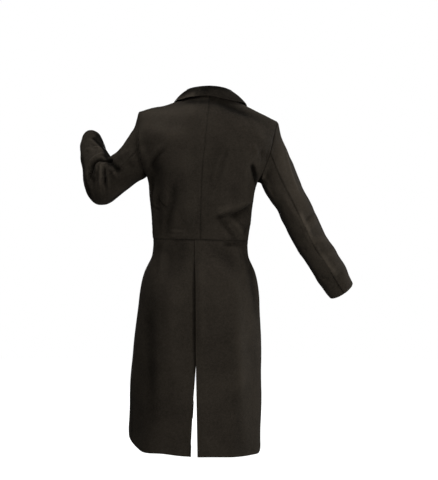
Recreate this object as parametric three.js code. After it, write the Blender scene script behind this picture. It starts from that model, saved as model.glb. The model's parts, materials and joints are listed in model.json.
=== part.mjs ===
// A long tailcoat in the shape it takes when it is worn: two backs, two fronts, two tails that lap at
// the centre back, two-piece sleeves, a turned-down collar, two lapels and one button.
// Millimetres, +Z up. The wearer faces +Y, so the wearer's right is +X. The origin is the middle of the
// neck, level with the inner ends of the shoulder seams.
import * as THREE from "three";

const { clamp, degToRad, lerp, radToDeg, smoothstep } = THREE.MathUtils;

// Driving sizes
const clothThick = 2;
const seamGap = 0.3;
const waistHeight = -480;
const hemHeight = -1194;
const crestHeight = -165; // the coat stands upright to here, then rounds over to the shoulder seam
const crestRoll = 230; // length of cloth from the crest to the shoulder seam
const neckWide = 82; // inner end of the shoulder seam, from the centre
const napeHeight = 5;
const shoulderWide = 235;
const shoulderFall = 0.42;
const neckRound = 45; // the shoulder line levels off inside the neck over about this width
const armpitHeight = -275;
const boxiness = 2.4; // 2 is an ellipse, more is squarer
const tailLap = 18; // each tail passes the centre back by this at the waist
const tailSplay = 13; // and stays short of it by this at the hem
const frontLap = 15; // each front passes the centre front by this at the button
const lapStep = 2; // where two layers lap, the upper one rises by this and the lower one sinks
const tailStand = 4; // the upper tail stands off this much more, below the waist
const rollStart = -372; // the lapels turn back above this height
const buttonHeight = -430;
const buttonRadius = 12;
const buttonThick = 5;
const lapelLift = 3.4;

// Facets
const neckSteps = 4;
const shoulderSteps = 5;
const sideSteps = 5;
const armholeSteps = 10;
const closingSteps = 3;
const rollSteps = 9;
const gorgeSteps = 3;
const tailSteps = 13;
const tailFrontSteps = 2;
const hindSeam = 5; // steps round the sleeve from its outer edge to each seam
const foreSeam = 14;
const mostMitre = 2.2; // longest mitre at a seam, in thicknesses

const colours = { back: 0x27241e, front: 0x24211c, tail: 0x28251f, sleeve: 0x2b2822, button: 0x15120f };

// Half the coat's breadth, and its depth behind and before the centre. Above the armpit the breadth is
// that of the whole shoulder, and the armhole is cut out of it.
const levels = [
  { height: -165, wide: 240, back: 130, front: 126 },
  { height: -225, wide: 221, back: 129, front: 128 },
  { height: -275, wide: 187, back: 126, front: 127 },
  { height: -343, wide: 176, back: 120, front: 123 },
  { height: -430, wide: 166, back: 109, front: 114 },
  { height: -480, wide: 161, back: 105, front: 109 },
  { height: -510, wide: 162, back: 107, front: 110 },
  { height: -536, wide: 166, back: 112, front: 112 },
  { height: -562, wide: 177, back: 119, front: 115 },
  { height: -590, wide: 188, back: 126, front: 117 },
  { height: -643, wide: 199, back: 135, front: 119 },
  { height: -700, wide: 206, back: 141, front: 120 },
  { height: -790, wide: 213, back: 144, front: 120 },
  { height: -900, wide: 219, back: 146, front: 119 },
  { height: -1030, wide: 223, back: 148, front: 118 },
  { height: -1194, wide: 225, back: 150, front: 116 },
];

// The stance: how far each level sways to the wearer's right, and how much it tips down that side.
const stance = [
  { height: 60, sway: 13, tip: 0.07 },
  { height: 0, sway: 5, tip: 0.072 },
  { height: -65, sway: 0, tip: 0.072 },
  { height: -165, sway: -10, tip: 0.066 },
  { height: -275, sway: -20, tip: 0.054 },
  { height: -480, sway: -25.5, tip: 0.018 },
  { height: -640, sway: -29, tip: 0 },
  { height: -900, sway: -39, tip: 0.01 },
  { height: -1194, sway: -47, tip: 0.02 },
];

// Seam lines of one half
const neckSeam = [
  { wide: 0, height: napeHeight },
  { wide: 30, height: 3.7 },
  { wide: 60, height: 2 },
  { wide: neckWide, height: 0 },
];
const backArmhole = [
  { wide: 187, height: armpitHeight },
  { wide: 194, height: -263 },
  { wide: 203, height: -238 },
  { wide: 214, height: -200 },
  { wide: 223, height: -150 },
  { wide: 228, height: -105 },
  { wide: shoulderWide, height: shoulderHeight(shoulderWide) },
];
const frontArmhole = [
  { wide: 187, height: armpitHeight },
  { wide: 192, height: -264 },
  { wide: 197, height: -238 },
  { wide: 201, height: -200 },
  { wide: 209, height: -150 },
  { wide: 221, height: -105 },
  { wide: shoulderWide, height: shoulderHeight(shoulderWide) },
];
// The front's edge, upwards: the lapped part, the roll of the lapel, then the collar seam
const closingLine = [
  { wide: -frontLap, height: waistHeight },
  { wide: -frontLap, height: -412 },
  { wide: 2, height: rollStart },
];
const rollLine = [
  { wide: 2, height: rollStart },
  { wide: 21, height: -300 },
  { wide: 45, height: -180 },
  { wide: 66, height: -66 },
];
const collarSeam = [
  { wide: 66, height: -66 },
  { wide: 77, height: -24 },
  { wide: neckWide, height: 0 },
];

// The free front edge of each tail, down to the middle of its rounded corner, and its hem from the
// centre back to there, as the turn round the body in degrees from the centre back
const tailEdges = {
  left: {
    front: [
      { turn: 127, height: waistHeight },
      { turn: 124, height: -640 },
      { turn: 115, height: -820 },
      { turn: 103, height: -1000 },
      { turn: 92, height: -1095 },
      { turn: 78, height: -1145 },
    ],
    hem: [
      { turn: 0, height: hemHeight },
      { turn: 38, height: hemHeight },
      { turn: 58, height: -1178 },
      { turn: 78, height: -1145 },
    ],
  },
  right: {
    front: [
      { turn: 127, height: waistHeight },
      { turn: 125, height: -640 },
      { turn: 119, height: -820 },
      { turn: 110, height: -1000 },
      { turn: 103, height: -1105 },
      { turn: 93, height: -1155 },
    ],
    hem: [
      { turn: 0, height: hemHeight },
      { turn: 60, height: hemHeight },
      { turn: 78, height: -1187 },
      { turn: 93, height: -1155 },
    ],
  },
};

// Folds of the backs from one end to the other: how far out from the centre and how high they lie
// there, how broad they are, and how far they rise (+) or sink (-)
const backFolds = {
  left: [
    { fromWide: 94, fromHeight: -245, toWide: 88, toHeight: -440, spread: 17, rise: -5 },
    { fromWide: 176, fromHeight: -240, toWide: 138, toHeight: -172, spread: 14, rise: 5 },
  ],
  right: [
    { fromWide: 62, fromHeight: -402, toWide: 160, toHeight: -364, spread: 15, rise: 6 },
    { fromWide: 66, fromHeight: -436, toWide: 150, toHeight: -412, spread: 14, rise: -6 },
    { fromWide: 168, fromHeight: -288, toWide: 148, toHeight: -195, spread: 14, rise: -6 },
  ],
};

// Soft ridges (+) and troughs (-) that run down the tails: where they lie round the body, and the
// heights at which they start to show and are full
const tailFolds = [
  { turn: 33, spread: 9, rise: 6, starts: -620, full: -960 },
  { turn: 58, spread: 12, rise: -7, starts: -640, full: -1000 },
  { turn: 108, spread: 12, rise: 6, starts: -560, full: -840 },
];

// Sleeve sections where they lie: the outer and inner edges as seen from behind, how far the middle is
// ahead of the shoulders, and half the depth.
const sleeveSections = {
  right: [
    { outX: 250, outZ: -132, inX: 179, inZ: -288, ahead: 6, deep: 62 },
    { outX: 268, outZ: -176, inX: 186, inZ: -302, ahead: 8, deep: 63 },
    { outX: 288, outZ: -222, inX: 195, inZ: -320, ahead: 10, deep: 62 },
    { outX: 309, outZ: -268, inX: 211, inZ: -344, ahead: 13, deep: 60 },
    { outX: 334, outZ: -323, inX: 235, inZ: -379, ahead: 17, deep: 58 },
    { outX: 358, outZ: -370, inX: 253, inZ: -418, ahead: 24, deep: 56 },
    { outX: 381, outZ: -420, inX: 278, inZ: -467, ahead: 36, deep: 54 },
    { outX: 407, outZ: -469, inX: 306, inZ: -515, ahead: 55, deep: 52 },
    { outX: 445, outZ: -523, inX: 345, inZ: -569, ahead: 78, deep: 49 },
    { outX: 479, outZ: -579, inX: 380, inZ: -625, ahead: 101, deep: 44 },
    { outX: 503, outZ: -630, inX: 424, inZ: -682, ahead: 122, deep: 40 },
  ],
  left: [
    { outX: -247, outZ: -88, inX: -217, inZ: -270, ahead: 7, deep: 61 },
    { outX: -262, outZ: -114, inX: -232, inZ: -279, ahead: 9, deep: 61 },
    { outX: -281, outZ: -147, inX: -257, inZ: -293, ahead: 14, deep: 60 },
    { outX: -302, outZ: -173, inX: -286, inZ: -313, ahead: 22, deep: 58 },
    { outX: -323, outZ: -188, inX: -319, inZ: -339, ahead: 33, deep: 57 },
    { outX: -335, outZ: -196, inX: -352, inZ: -357, ahead: 43, deep: 56 },
    { outX: -338, outZ: -198, inX: -385, inZ: -356, ahead: 53, deep: 54 },
    { outX: -341, outZ: -194, inX: -409, inZ: -330, ahead: 67, deep: 52 },
    { outX: -344, outZ: -184, inX: -422, inZ: -286, ahead: 90, deep: 50 },
    { outX: -351, outZ: -172, inX: -433, inZ: -241, ahead: 119, deep: 49 },
    { outX: -360, outZ: -158, inX: -446, inZ: -199, ahead: 151, deep: 49 },
    { outX: -369, outZ: -141, inX: -452, inZ: -163, ahead: 183, deep: 48 },
    { outX: -380, outZ: -123, inX: -451, inZ: -127, ahead: 212, deep: 47 },
  ],
};

// The collar from the centre back (0) to the gorge (1): how far its roll stands off the coat and leans
// over the neck. Its outer edge is so far out from the centre, so many degrees over the shoulder, which
// is 90 at the top, and lifts off so much.
const collarLines = {
  left: [
    { along: 0, off: 22, lean: 21, wide: 0, over: 60, lift: 8 },
    { along: 0.28, off: 20, lean: 21, wide: 52, over: 62, lift: 7 },
    { along: 0.43, off: 19, lean: 19.5, wide: 89, over: 71, lift: 6 },
    { along: 0.571, off: 19, lean: 17, wide: 112, over: 87, lift: 5 },
    { along: 0.71, off: 16, lean: 13, wide: 122, over: 112, lift: 5 },
    { along: 0.86, off: 11, lean: 7, wide: 120, over: 133, lift: 5 },
    { along: 1, off: 5, lean: 3, wide: 106, over: 150.4, lift: 4 },
  ],
  right: [
    { along: 0, off: 22, lean: 21, wide: 0, over: 60, lift: 8 },
    { along: 0.28, off: 23, lean: 21, wide: 54, over: 61, lift: 8 },
    { along: 0.43, off: 23.5, lean: 20.5, wide: 96, over: 70, lift: 7 },
    { along: 0.571, off: 23, lean: 20, wide: 121, over: 88, lift: 6 },
    { along: 0.71, off: 19, lean: 14, wide: 127, over: 112, lift: 6 },
    { along: 0.86, off: 11, lean: 7, wide: 121, over: 133, lift: 5 },
    { along: 1, off: 5, lean: 3, wide: 106, over: 150.4, lift: 4 },
  ],
};
const collarFold = 1.6; // inside radius of the collar's roll
const collarBow = 2; // the turned-down part bows out by this
const notch = { wide: 106, height: -88 };
const lapelTip = { wide: 144, height: -107 };
const lapelEdge = [
  { wide: 8, height: rollStart },
  { wide: 46, height: -318 },
  { wide: 92, height: -238 },
  { wide: 127, height: -160 },
  lapelTip,
];

// The value of one column of a table, smooth between its rows, which are in order of the key column.
function readTable(rows, key, column, at) {
  const rising = rows.at(-1)[key] > rows[0][key];
  const ordered = rising ? rows : [...rows].reverse();
  const last = ordered.length - 1;
  if (at <= ordered[0][key]) return ordered[0][column];
  if (at >= ordered[last][key]) return ordered[last][column];
  const i = ordered.findIndex((row) => row[key] > at) - 1;
  const slope = (a, b) => (ordered[b][column] - ordered[a][column]) / (ordered[b][key] - ordered[a][key]);
  const span = ordered[i + 1][key] - ordered[i][key];
  const t = (at - ordered[i][key]) / span;
  const back = 1 - t;
  const leave = slope(Math.max(i - 1, 0), i + 1) * span;
  const arrive = slope(i, Math.min(i + 2, last)) * span;
  const start = ordered[i][column] * (1 + 2 * t) * back * back + leave * t * back * back;
  return start + ordered[i + 1][column] * t * t * (3 - 2 * t) - arrive * t * t * back;
}

function spread(from, to, steps) {
  return Array.from({ length: steps + 1 }, (_, k) => lerp(from, to, k / steps));
}

// Rows spaced evenly along a seam line's table, where place gives the point of a row.
function alongSeam(rows, steps, place) {
  const numbered = rows.map((row, number) => ({ ...row, number }));
  const lengths = [0];
  rows.slice(1).forEach((row, i) => lengths.push(lengths[i] + place(row).distanceTo(place(rows[i]))));
  const columns = Object.keys(rows[0]);
  return spread(0, lengths.at(-1), steps).map((reach) => {
    const i = clamp(lengths.findIndex((length) => length >= reach - 1e-6) - 1, 0, rows.length - 2);
    const number = i + (reach - lengths[i]) / (lengths[i + 1] - lengths[i]);
    const values = columns.map((column) => [column, readTable(numbered, "number", column, number)]);
    return Object.fromEntries(values);
  });
}

function shoulderHeight(wide) {
  return shoulderFall * (Math.hypot(neckWide, neckRound) - Math.hypot(wide, neckRound));
}

function power(value, exponent) {
  return Math.sign(value) * Math.abs(value) ** exponent;
}

// A spot on the coat is its turn round the body, from 0 at the centre back through 90 at the side to
// 180 at the centre front, and its climb, the length of cloth up from the waist seam.
const crestClimb = crestHeight - waistHeight;

function spotOf({ wide, height }, onFront) {
  const share = wide / readTable(levels, "height", "wide", Math.min(height, crestHeight));
  const turn = radToDeg(Math.asin(clamp(power(share, boxiness / 2), -1, 1)));
  let climb = height - waistHeight;
  if (height > crestHeight) {
    const rise = (height - crestHeight) / (shoulderHeight(Math.abs(wide)) - crestHeight);
    climb = crestClimb + (crestRoll * radToDeg(Math.asin(clamp(rise, 0, 1)))) / 90;
  }
  return { turn: onFront ? 180 - turn : turn, climb };
}

// The upright, even-sided coat at a spot
function standingPoint({ turn, climb }) {
  const over = degToRad((Math.max(climb - crestClimb, 0) / crestRoll) * 90);
  const level = waistHeight + Math.min(climb, crestClimb);
  const angle = degToRad(turn);
  const wide = readTable(levels, "height", "wide", level) * power(Math.sin(angle), 2 / boxiness);
  const behind = turn < 90 === over < Math.PI / 2;
  const depth = readTable(levels, "height", behind ? "back" : "front", level);
  const lean = power(Math.max(1 - Math.abs(Math.sin(over)) ** boxiness, 0), 1 / boxiness);
  const deep = -depth * power(Math.cos(angle), 2 / boxiness) * lean * Math.sign(Math.cos(over));
  const height = level + (shoulderHeight(Math.abs(wide)) - level) * Math.sin(over);
  return new THREE.Vector3(wide, deep, height);
}

// The same point once the wearer stands easy
function takeStance(point) {
  const sway = readTable(stance, "height", "sway", point.z);
  const tip = readTable(stance, "height", "tip", point.z);
  return new THREE.Vector3(point.x + sway, point.y, point.z - tip * point.x);
}

function worn(side, spot) {
  const point = standingPoint(spot);
  return takeStance(point.setX(point.x * side));
}

function outward(side, { turn, climb }) {
  const small = 0.6;
  const across = worn(side, { turn: turn + small, climb }).sub(worn(side, { turn: turn - small, climb }));
  const up = worn(side, { turn, climb: climb + small }).sub(worn(side, { turn, climb: climb - small }));
  return across.cross(up).multiplyScalar(side).normalize();
}

function liftedPoint(side, spot, lift) {
  return worn(side, spot).addScaledVector(outward(side, spot), lift);
}

function backFoldRise(side, spot) {
  const at = standingPoint(spot);
  return backFolds[side < 0 ? "left" : "right"].reduce((sum, fold) => {
    const from = new THREE.Vector2(fold.fromWide, fold.fromHeight);
    const along = new THREE.Vector2(fold.toWide, fold.toHeight).sub(from);
    const reach = new THREE.Vector2(at.x, at.z).sub(from);
    const share = clamp(reach.dot(along) / along.lengthSq(), 0, 1);
    const distance = reach.addScaledVector(along, -share).length();
    return sum + fold.rise * Math.exp(-((distance / fold.spread) ** 2));
  }, 0);
}

function tailFoldRise({ turn, climb }) {
  const height = waistHeight + climb;
  return tailFolds.reduce((sum, fold) => {
    const across = Math.exp(-(((turn - fold.turn) / fold.spread) ** 2));
    return sum + fold.rise * across * (1 - smoothstep(height, fold.full, fold.starts));
  }, 0);
}

// The right tail laps over the left one, and stands off it below the waist.
function tailLift(side, spot) {
  const nearEdge = 1 - smoothstep(standingPoint(spot).x, 12, 70);
  const stand = side > 0 ? tailStand * smoothstep(-spot.climb, 20, 160) : 0;
  return (side * lapStep + stand) * nearEdge + tailFoldRise(spot);
}

// The left front laps over the right one from the waist to where the lapels turn.
function frontLift(side, spot) {
  const lapTop = rollStart - waistHeight;
  const nearEdge = 1 - smoothstep(standingPoint(spot).x, 55, 110);
  return -side * lapStep * nearEdge * (1 - smoothstep(spot.climb, lapTop + 20, lapTop + 90));
}

const mixSpots = (a, b, t) => ({ turn: lerp(a.turn, b.turn, t), climb: lerp(a.climb, b.climb, t) });

// Fills four edges with a grid of spots. low and high run across, near and far run up.
function fillPatch(low, high, near, far) {
  return near.map((_, i) =>
    low.map((_, j) => {
      const u = j / (low.length - 1);
      const v = i / (near.length - 1);
      const rows = mixSpots(low[j], high[j], v);
      const columns = mixSpots(near[i], far[i], u);
      const corners = mixSpots(mixSpots(low[0], low.at(-1), u), mixSpots(high[0], high.at(-1), u), v);
      const turn = rows.turn + columns.turn - corners.turn;
      return { turn, climb: rows.climb + columns.climb - corners.climb };
    }),
  );
}

const placeBack = (row) => standingPoint(spotOf(row, false));
const placeFront = (row) => standingPoint(spotOf(row, true));

function sideLine(armhole, onFront) {
  const seam = spread(0, armpitHeight - waistHeight, sideSteps).map((climb) => ({ turn: 90, climb }));
  const place = onFront ? placeFront : placeBack;
  const hole = alongSeam(armhole, armholeSteps, place).map((row) => spotOf(row, onFront));
  return [...seam, ...hole.slice(1)];
}

function shoulderLine(onFront) {
  return spread(neckWide, shoulderWide, shoulderSteps).map((wide) =>
    spotOf({ wide, height: shoulderHeight(wide) }, onFront),
  );
}

const frontEdge = [
  ...alongSeam(closingLine, closingSteps, placeFront).slice(0, -1),
  ...alongSeam(rollLine, rollSteps, placeFront).slice(0, -1),
  ...alongSeam(collarSeam, gorgeSteps, placeFront),
].map((row) => spotOf(row, true));

function backSpots() {
  const far = sideLine(backArmhole, false);
  const neck = alongSeam(neckSeam, neckSteps, placeBack).map((row) => spotOf(row, false));
  const high = [...neck.slice(0, -1), ...shoulderLine(false)];
  const low = spread(0, 90, high.length - 1).map((turn) => ({ turn, climb: 0 }));
  const near = spread(0, high[0].climb, far.length - 1).map((climb) => ({ turn: 0, climb }));
  return fillPatch(low, high, near, far);
}

const waistTurnsInFront = spread(90, frontEdge[0].turn, shoulderSteps);

function frontSpots() {
  const high = shoulderLine(true).reverse();
  const low = waistTurnsInFront.map((turn) => ({ turn, climb: 0 }));
  return fillPatch(low, high, sideLine(frontArmhole, true), frontEdge);
}

function tailSpots(edge) {
  const toSpot = ({ turn, height }) => ({ turn, climb: height - waistHeight });
  const place = (row) => standingPoint(toSpot(row));
  const far = alongSeam(edge.front, tailSteps, place).map(toSpot);
  const near = spread(0, 1, tailSteps).map((share) => {
    const height = lerp(waistHeight, hemHeight, share);
    return spotOf({ wide: lerp(-tailLap, tailSplay, share), height }, false);
  });
  const backTurns = spread(0, 90, neckSteps + shoulderSteps);
  const turns = [near[0].turn, ...backTurns, ...waistTurnsInFront.slice(1, 1 + tailFrontSteps)];
  const high = turns.map((turn) => ({ turn, climb: 0 }));
  far[0] = high.at(-1);
  const low = alongSeam(edge.hem, turns.length - 1, place).map(toSpot);
  low[0] = near.at(-1);
  return fillPatch(low, high, near.reverse(), far.reverse());
}

// A sleeve as rings of points, from the armhole to the cuff. A ring starts at the outer edge and runs
// behind the arm to the inner edge, then in front of it back to the start.
function sleeveRings(side, sections) {
  const backHole = sideLine(backArmhole, false).slice(sideSteps).reverse();
  const frontHole = sideLine(frontArmhole, true).slice(sideSteps);
  const armhole = [...backHole, ...frontHole.slice(1, -1)].map((spot) => worn(side, spot));
  const outer = (row) => new THREE.Vector3(row.outX, row.ahead, row.outZ);
  const inner = (row) => new THREE.Vector3(row.inX, row.ahead, row.inZ);
  const middles = sections.map((row) => outer(row).lerp(inner(row), 0.5));
  const rings = sections.map((row, i) => {
    const ahead = middles[Math.min(i + 1, middles.length - 1)];
    const axis = ahead.clone().sub(middles[Math.max(i - 1, 0)]).normalize();
    const halfWide = outer(row).sub(inner(row)).multiplyScalar(0.5);
    const toBack = axis.clone().cross(halfWide).normalize().multiplyScalar(side * row.deep);
    return armhole.map((_, k) => {
      const angle = (2 * Math.PI * k) / armhole.length;
      const point = middles[i].clone().addScaledVector(halfWide, Math.cos(angle));
      return point.addScaledVector(toBack, Math.sin(angle));
    });
  });
  return [armhole, ...rings];
}

// The side of the collar that faces the coat: up the stand from the neck seam, round the roll, then down
// the turned part to its edge.
function collarGrid() {
  const seamSpots = [
    ...alongSeam(neckSeam, neckSteps, placeBack).map((row) => spotOf(row, false)),
    ...frontEdge.slice(-gorgeSteps - 1, -1).reverse(),
  ];
  const half = (side) => {
    const line = side < 0 ? collarLines.left : collarLines.right;
    return seamSpots.map((spot, i) => {
      const row = (column) => readTable(line, "along", column, i / (seamSpots.length - 1));
      const foot = worn(side, spot);
      const normal = outward(side, spot);
      const before = i > 0 ? worn(side, seamSpots[i - 1]) : worn(-side, seamSpots[1]);
      const after = worn(side, seamSpots[Math.min(i + 1, seamSpots.length - 1)]);
      const inward = normal.clone().cross(after.sub(before)).multiplyScalar(side).normalize();
      const roll = foot.clone().addScaledVector(normal, row("off")).addScaledVector(inward, row("lean"));
      const edgeTurn = spotOf({ wide: row("wide"), height: crestHeight }, false).turn;
      const edgeClimb = crestClimb + (crestRoll * row("over")) / 90;
      const edge = liftedPoint(side, { turn: edgeTurn, climb: edgeClimb }, row("lift"));
      const up = roll.clone().sub(foot).normalize();
      const away = edge.clone().sub(roll).normalize();
      away.addScaledVector(up, -away.dot(up)).normalize();
      const turned = (t) => {
        const point = roll.clone().addScaledVector(away, collarFold).lerp(edge, t);
        return point.addScaledVector(up.clone().add(away), collarBow * 4 * t * (1 - t));
      };
      return [
        foot,
        foot.clone().lerp(roll, 0.5),
        roll.clone().addScaledVector(away, -collarFold),
        roll.clone().addScaledVector(up, collarFold),
        turned(0),
        turned(0.33),
        turned(0.67),
        edge,
      ];
    });
  };
  return [...half(-1).reverse(), ...half(1).slice(1)];
}

function lapelGrid(side) {
  const near = frontEdge.slice(closingSteps, closingSteps + rollSteps + 1);
  const far = alongSeam(lapelEdge, rollSteps, placeFront).map((row) => spotOf(row, true));
  const gorge = near.at(-1);
  const notchSpot = spotOf(notch, true);
  const tip = far.at(-1);
  const high = [gorge, mixSpots(gorge, notchSpot, 0.5), notchSpot, mixSpots(notchSpot, tip, 0.5), tip];
  const low = high.map((_, k) => mixSpots(near[0], far[0], k / (high.length - 1)));
  return fillPatch(low, high, near, far).map((row) =>
    row.map((spot, j) => {
      const lift = lerp(seamGap, lapelLift, smoothstep(j, 0, 2));
      return liftedPoint(side, spot, frontLift(side, spot) + lift);
    }),
  );
}

// Every piece of cloth is a grid of points on one side of its wall. A row's direction crossed with a
// column's gives the way that side faces. The edges it names are sewn to another piece.
const panels = [];

function addPanel(name, colour, grid, sewn, mirrored = false) {
  const points = mirrored ? grid.map((row) => [...row].reverse()) : grid;
  const edges = mirrored ? { ...sewn, near: sewn.far, far: sewn.near } : sewn;
  panels.push({ name, colour, points, edges });
}

const keyOf = (point) => point.toArray().map((value) => Math.round(value * 1000)).join();

function neighbours(points, i, j) {
  const row = points[i];
  return {
    left: row[Math.max(j - 1, 0)],
    right: row[Math.min(j + 1, row.length - 1)],
    below: points[Math.max(i - 1, 0)][j],
    above: points[Math.min(i + 1, points.length - 1)][j],
  };
}

// Pieces that meet at a point share one direction through the cloth there, so their edges stay flush.
function shareNormals() {
  const shared = new Map();
  for (const { points } of panels)
    points.forEach((row, i) =>
      row.forEach((point, j) => {
        const { left, right, below, above } = neighbours(points, i, j);
        const normal = right.clone().sub(left).cross(above.clone().sub(below)).normalize();
        const found = shared.get(keyOf(point)) ?? { sum: new THREE.Vector3(), count: 0 };
        shared.set(keyOf(point), { sum: found.sum.add(normal), count: found.count + 1 });
      }),
    );
  return shared;
}

const edgeOrder = new THREE.Vector3(0.31, 0.23, 1);

// Half the seam's gap, square to the seam and to the direction through the cloth
function pullBack(inside, seam, through) {
  const square = seam.cross(through).normalize();
  return square.multiplyScalar((Math.sign(square.dot(inside)) * seamGap) / 2);
}

function wallGeometry({ points, edges }, shared) {
  const rows = points.length;
  const columns = points[0].length;
  const outer = [];
  const inner = [];
  points.forEach((row, i) =>
    row.forEach((point, j) => {
      const { sum, count } = shared.get(keyOf(point));
      const through = sum.clone().normalize();
      const depth = Math.min(clothThick / (sum.length() / count), clothThick * mostMitre);
      const { left, right, below, above } = neighbours(points, i, j);
      const across = right.clone().sub(left);
      const up = above.clone().sub(below);
      const moved = point.clone();
      if (edges.low && i === 0) moved.add(pullBack(up, across.clone(), through));
      if (edges.high && i === rows - 1) moved.add(pullBack(up.clone().negate(), across.clone(), through));
      if (edges.near && j === 0) moved.add(pullBack(across, up.clone(), through));
      if (edges.far && j === columns - 1) moved.add(pullBack(across.clone().negate(), up.clone(), through));
      outer.push(moved);
      inner.push(moved.clone().addScaledVector(through, -depth));
    }),
  );
  const at = (i, j) => i * columns + j;
  const hidden = outer.length;
  const faces = [];
  const quad = (a, b, c, d) => faces.push(a, b, c, a, c, d);
  // Both sides of a seam split their edge faces along the same diagonal.
  const edgeFace = (a, b) => {
    if (outer[a].dot(edgeOrder) < outer[b].dot(edgeOrder)) quad(a, hidden + a, hidden + b, b);
    else quad(b, a, hidden + a, hidden + b);
  };
  for (let i = 0; i + 1 < rows; i++)
    for (let j = 0; j + 1 < columns; j++) {
      let corners = [at(i, j), at(i, j + 1), at(i + 1, j + 1), at(i + 1, j)];
      const [a, b, c, d] = corners.map((corner) => outer[corner]);
      if (b.distanceTo(d) < a.distanceTo(c)) corners = [...corners.slice(1), corners[0]];
      quad(...corners);
      const [first, second, third, fourth] = corners.map((corner) => hidden + corner);
      quad(first, fourth, third, second);
    }
  for (let j = 0; j + 1 < columns; j++) {
    edgeFace(at(0, j), at(0, j + 1));
    edgeFace(at(rows - 1, j + 1), at(rows - 1, j));
  }
  for (let i = 0; i + 1 < rows; i++) {
    edgeFace(at(i + 1, 0), at(i, 0));
    edgeFace(at(i, columns - 1), at(i + 1, columns - 1));
  }
  const geometry = new THREE.BufferGeometry();
  const places = [...outer, ...inner].flatMap((point) => point.toArray());
  geometry.setAttribute("position", new THREE.Float32BufferAttribute(places, 3));
  geometry.setIndex(faces);
  return geometry;
}

function finish(colour, roughness) {
  return new THREE.MeshStandardMaterial({ color: colour, roughness, metalness: 0 });
}

function makeButton() {
  const profile = [
    { radius: 0, rise: 0 },
    { radius: buttonRadius - 1.5, rise: 0 },
    { radius: buttonRadius, rise: 1.2 },
    { radius: buttonRadius, rise: buttonThick - 2 },
    { radius: buttonRadius - 2, rise: buttonThick - 0.8 },
    { radius: 0, rise: buttonThick },
  ].map(({ radius, rise }) => new THREE.Vector2(radius, rise));
  const button = new THREE.Mesh(new THREE.LatheGeometry(profile, 24), finish(colours.button, 0.5));
  const spot = spotOf({ wide: 0, height: buttonHeight }, true);
  button.name = "button";
  button.quaternion.setFromUnitVectors(new THREE.Vector3(0, 1, 0), outward(-1, spot));
  button.position.copy(liftedPoint(-1, spot, frontLift(-1, spot) + seamGap));
  return button;
}

function addHalf(sideName, side) {
  const mirrored = side < 0;
  const lay = (spots, lift) => spots.map((row) => row.map((spot) => liftedPoint(side, spot, lift(side, spot))));
  const folded = lay(backSpots(), backFoldRise);
  const flat = lay(backSpots(), () => 0);
  const isEdge = (i, j) => i * j === 0 || i === flat.length - 1 || j === flat[0].length - 1;
  const back = flat.map((row, i) => row.map((point, j) => (isEdge(i, j) ? point : folded[i][j])));
  const backEdges = { low: true, high: true, near: true, far: true };
  addPanel(`back_${sideName}`, colours.back, back, backEdges, mirrored);
  const frontEdges = { low: true, high: true, near: true };
  addPanel(`front_${sideName}`, colours.front, lay(frontSpots(), frontLift), frontEdges, mirrored);
  const tail = lay(tailSpots(tailEdges[sideName]), tailLift);
  addPanel(`tail_${sideName}`, colours.tail, tail, { high: true }, mirrored);

  const rings = sleeveRings(side, sleeveSections[sideName]);
  const count = 2 * armholeSteps;
  const gore = (from, to) =>
    rings.map((ring) => Array.from({ length: to - from + 1 }, (_, k) => ring[(from + k) % count]));
  const sleeveEdges = { low: true, near: true, far: true };
  addPanel(`under_sleeve_${sideName}`, colours.sleeve, gore(hindSeam, foreSeam), sleeveEdges, mirrored);
  addPanel(`top_sleeve_${sideName}`, colours.sleeve, gore(foreSeam, count + hindSeam), sleeveEdges, mirrored);
  addPanel(`lapel_${sideName}`, colours.front, lapelGrid(side), { high: true }, mirrored);
}

addHalf("left", -1);
addHalf("right", 1);
addPanel("collar", colours.front, collarGrid(), { near: true }, true);

const coat = new THREE.Group();
const shared = shareNormals();
for (const panel of panels) {
  const mesh = new THREE.Mesh(wallGeometry(panel, shared), finish(panel.colour, 0.9));
  mesh.name = panel.name;
  coat.add(mesh);
}
coat.add(makeButton());

export default coat;
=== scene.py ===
# A long black tailcoat, worn: its cloth pieces, their folds and finish, and a plain studio.
# Lengths are in millimetres until a mesh is made. The wearer faces +Y, and the coat is seen from -Y.
import json

import bpy
import numpy as np
from mathutils import Matrix, Vector, kdtree

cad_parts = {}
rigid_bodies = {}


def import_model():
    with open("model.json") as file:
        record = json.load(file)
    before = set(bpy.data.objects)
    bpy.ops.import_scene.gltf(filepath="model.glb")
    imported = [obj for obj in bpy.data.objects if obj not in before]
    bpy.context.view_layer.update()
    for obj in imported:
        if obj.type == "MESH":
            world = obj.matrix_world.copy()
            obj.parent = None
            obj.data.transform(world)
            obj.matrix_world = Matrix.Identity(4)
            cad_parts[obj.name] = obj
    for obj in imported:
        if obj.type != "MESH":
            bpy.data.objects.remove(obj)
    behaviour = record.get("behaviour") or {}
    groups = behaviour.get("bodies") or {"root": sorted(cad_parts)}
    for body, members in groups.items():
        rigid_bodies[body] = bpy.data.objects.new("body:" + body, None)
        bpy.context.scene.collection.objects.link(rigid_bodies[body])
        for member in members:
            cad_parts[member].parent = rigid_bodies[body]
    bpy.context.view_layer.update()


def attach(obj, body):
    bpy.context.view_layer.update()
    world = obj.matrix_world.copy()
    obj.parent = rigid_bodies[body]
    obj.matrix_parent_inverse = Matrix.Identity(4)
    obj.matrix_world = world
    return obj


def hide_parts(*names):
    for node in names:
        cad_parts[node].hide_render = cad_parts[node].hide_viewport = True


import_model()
mm = 0.001
scene = bpy.context.scene


def table(columns, *rows):
    return {name: np.array(values, float) for name, values in zip(columns.split(), zip(*rows))}


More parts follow.
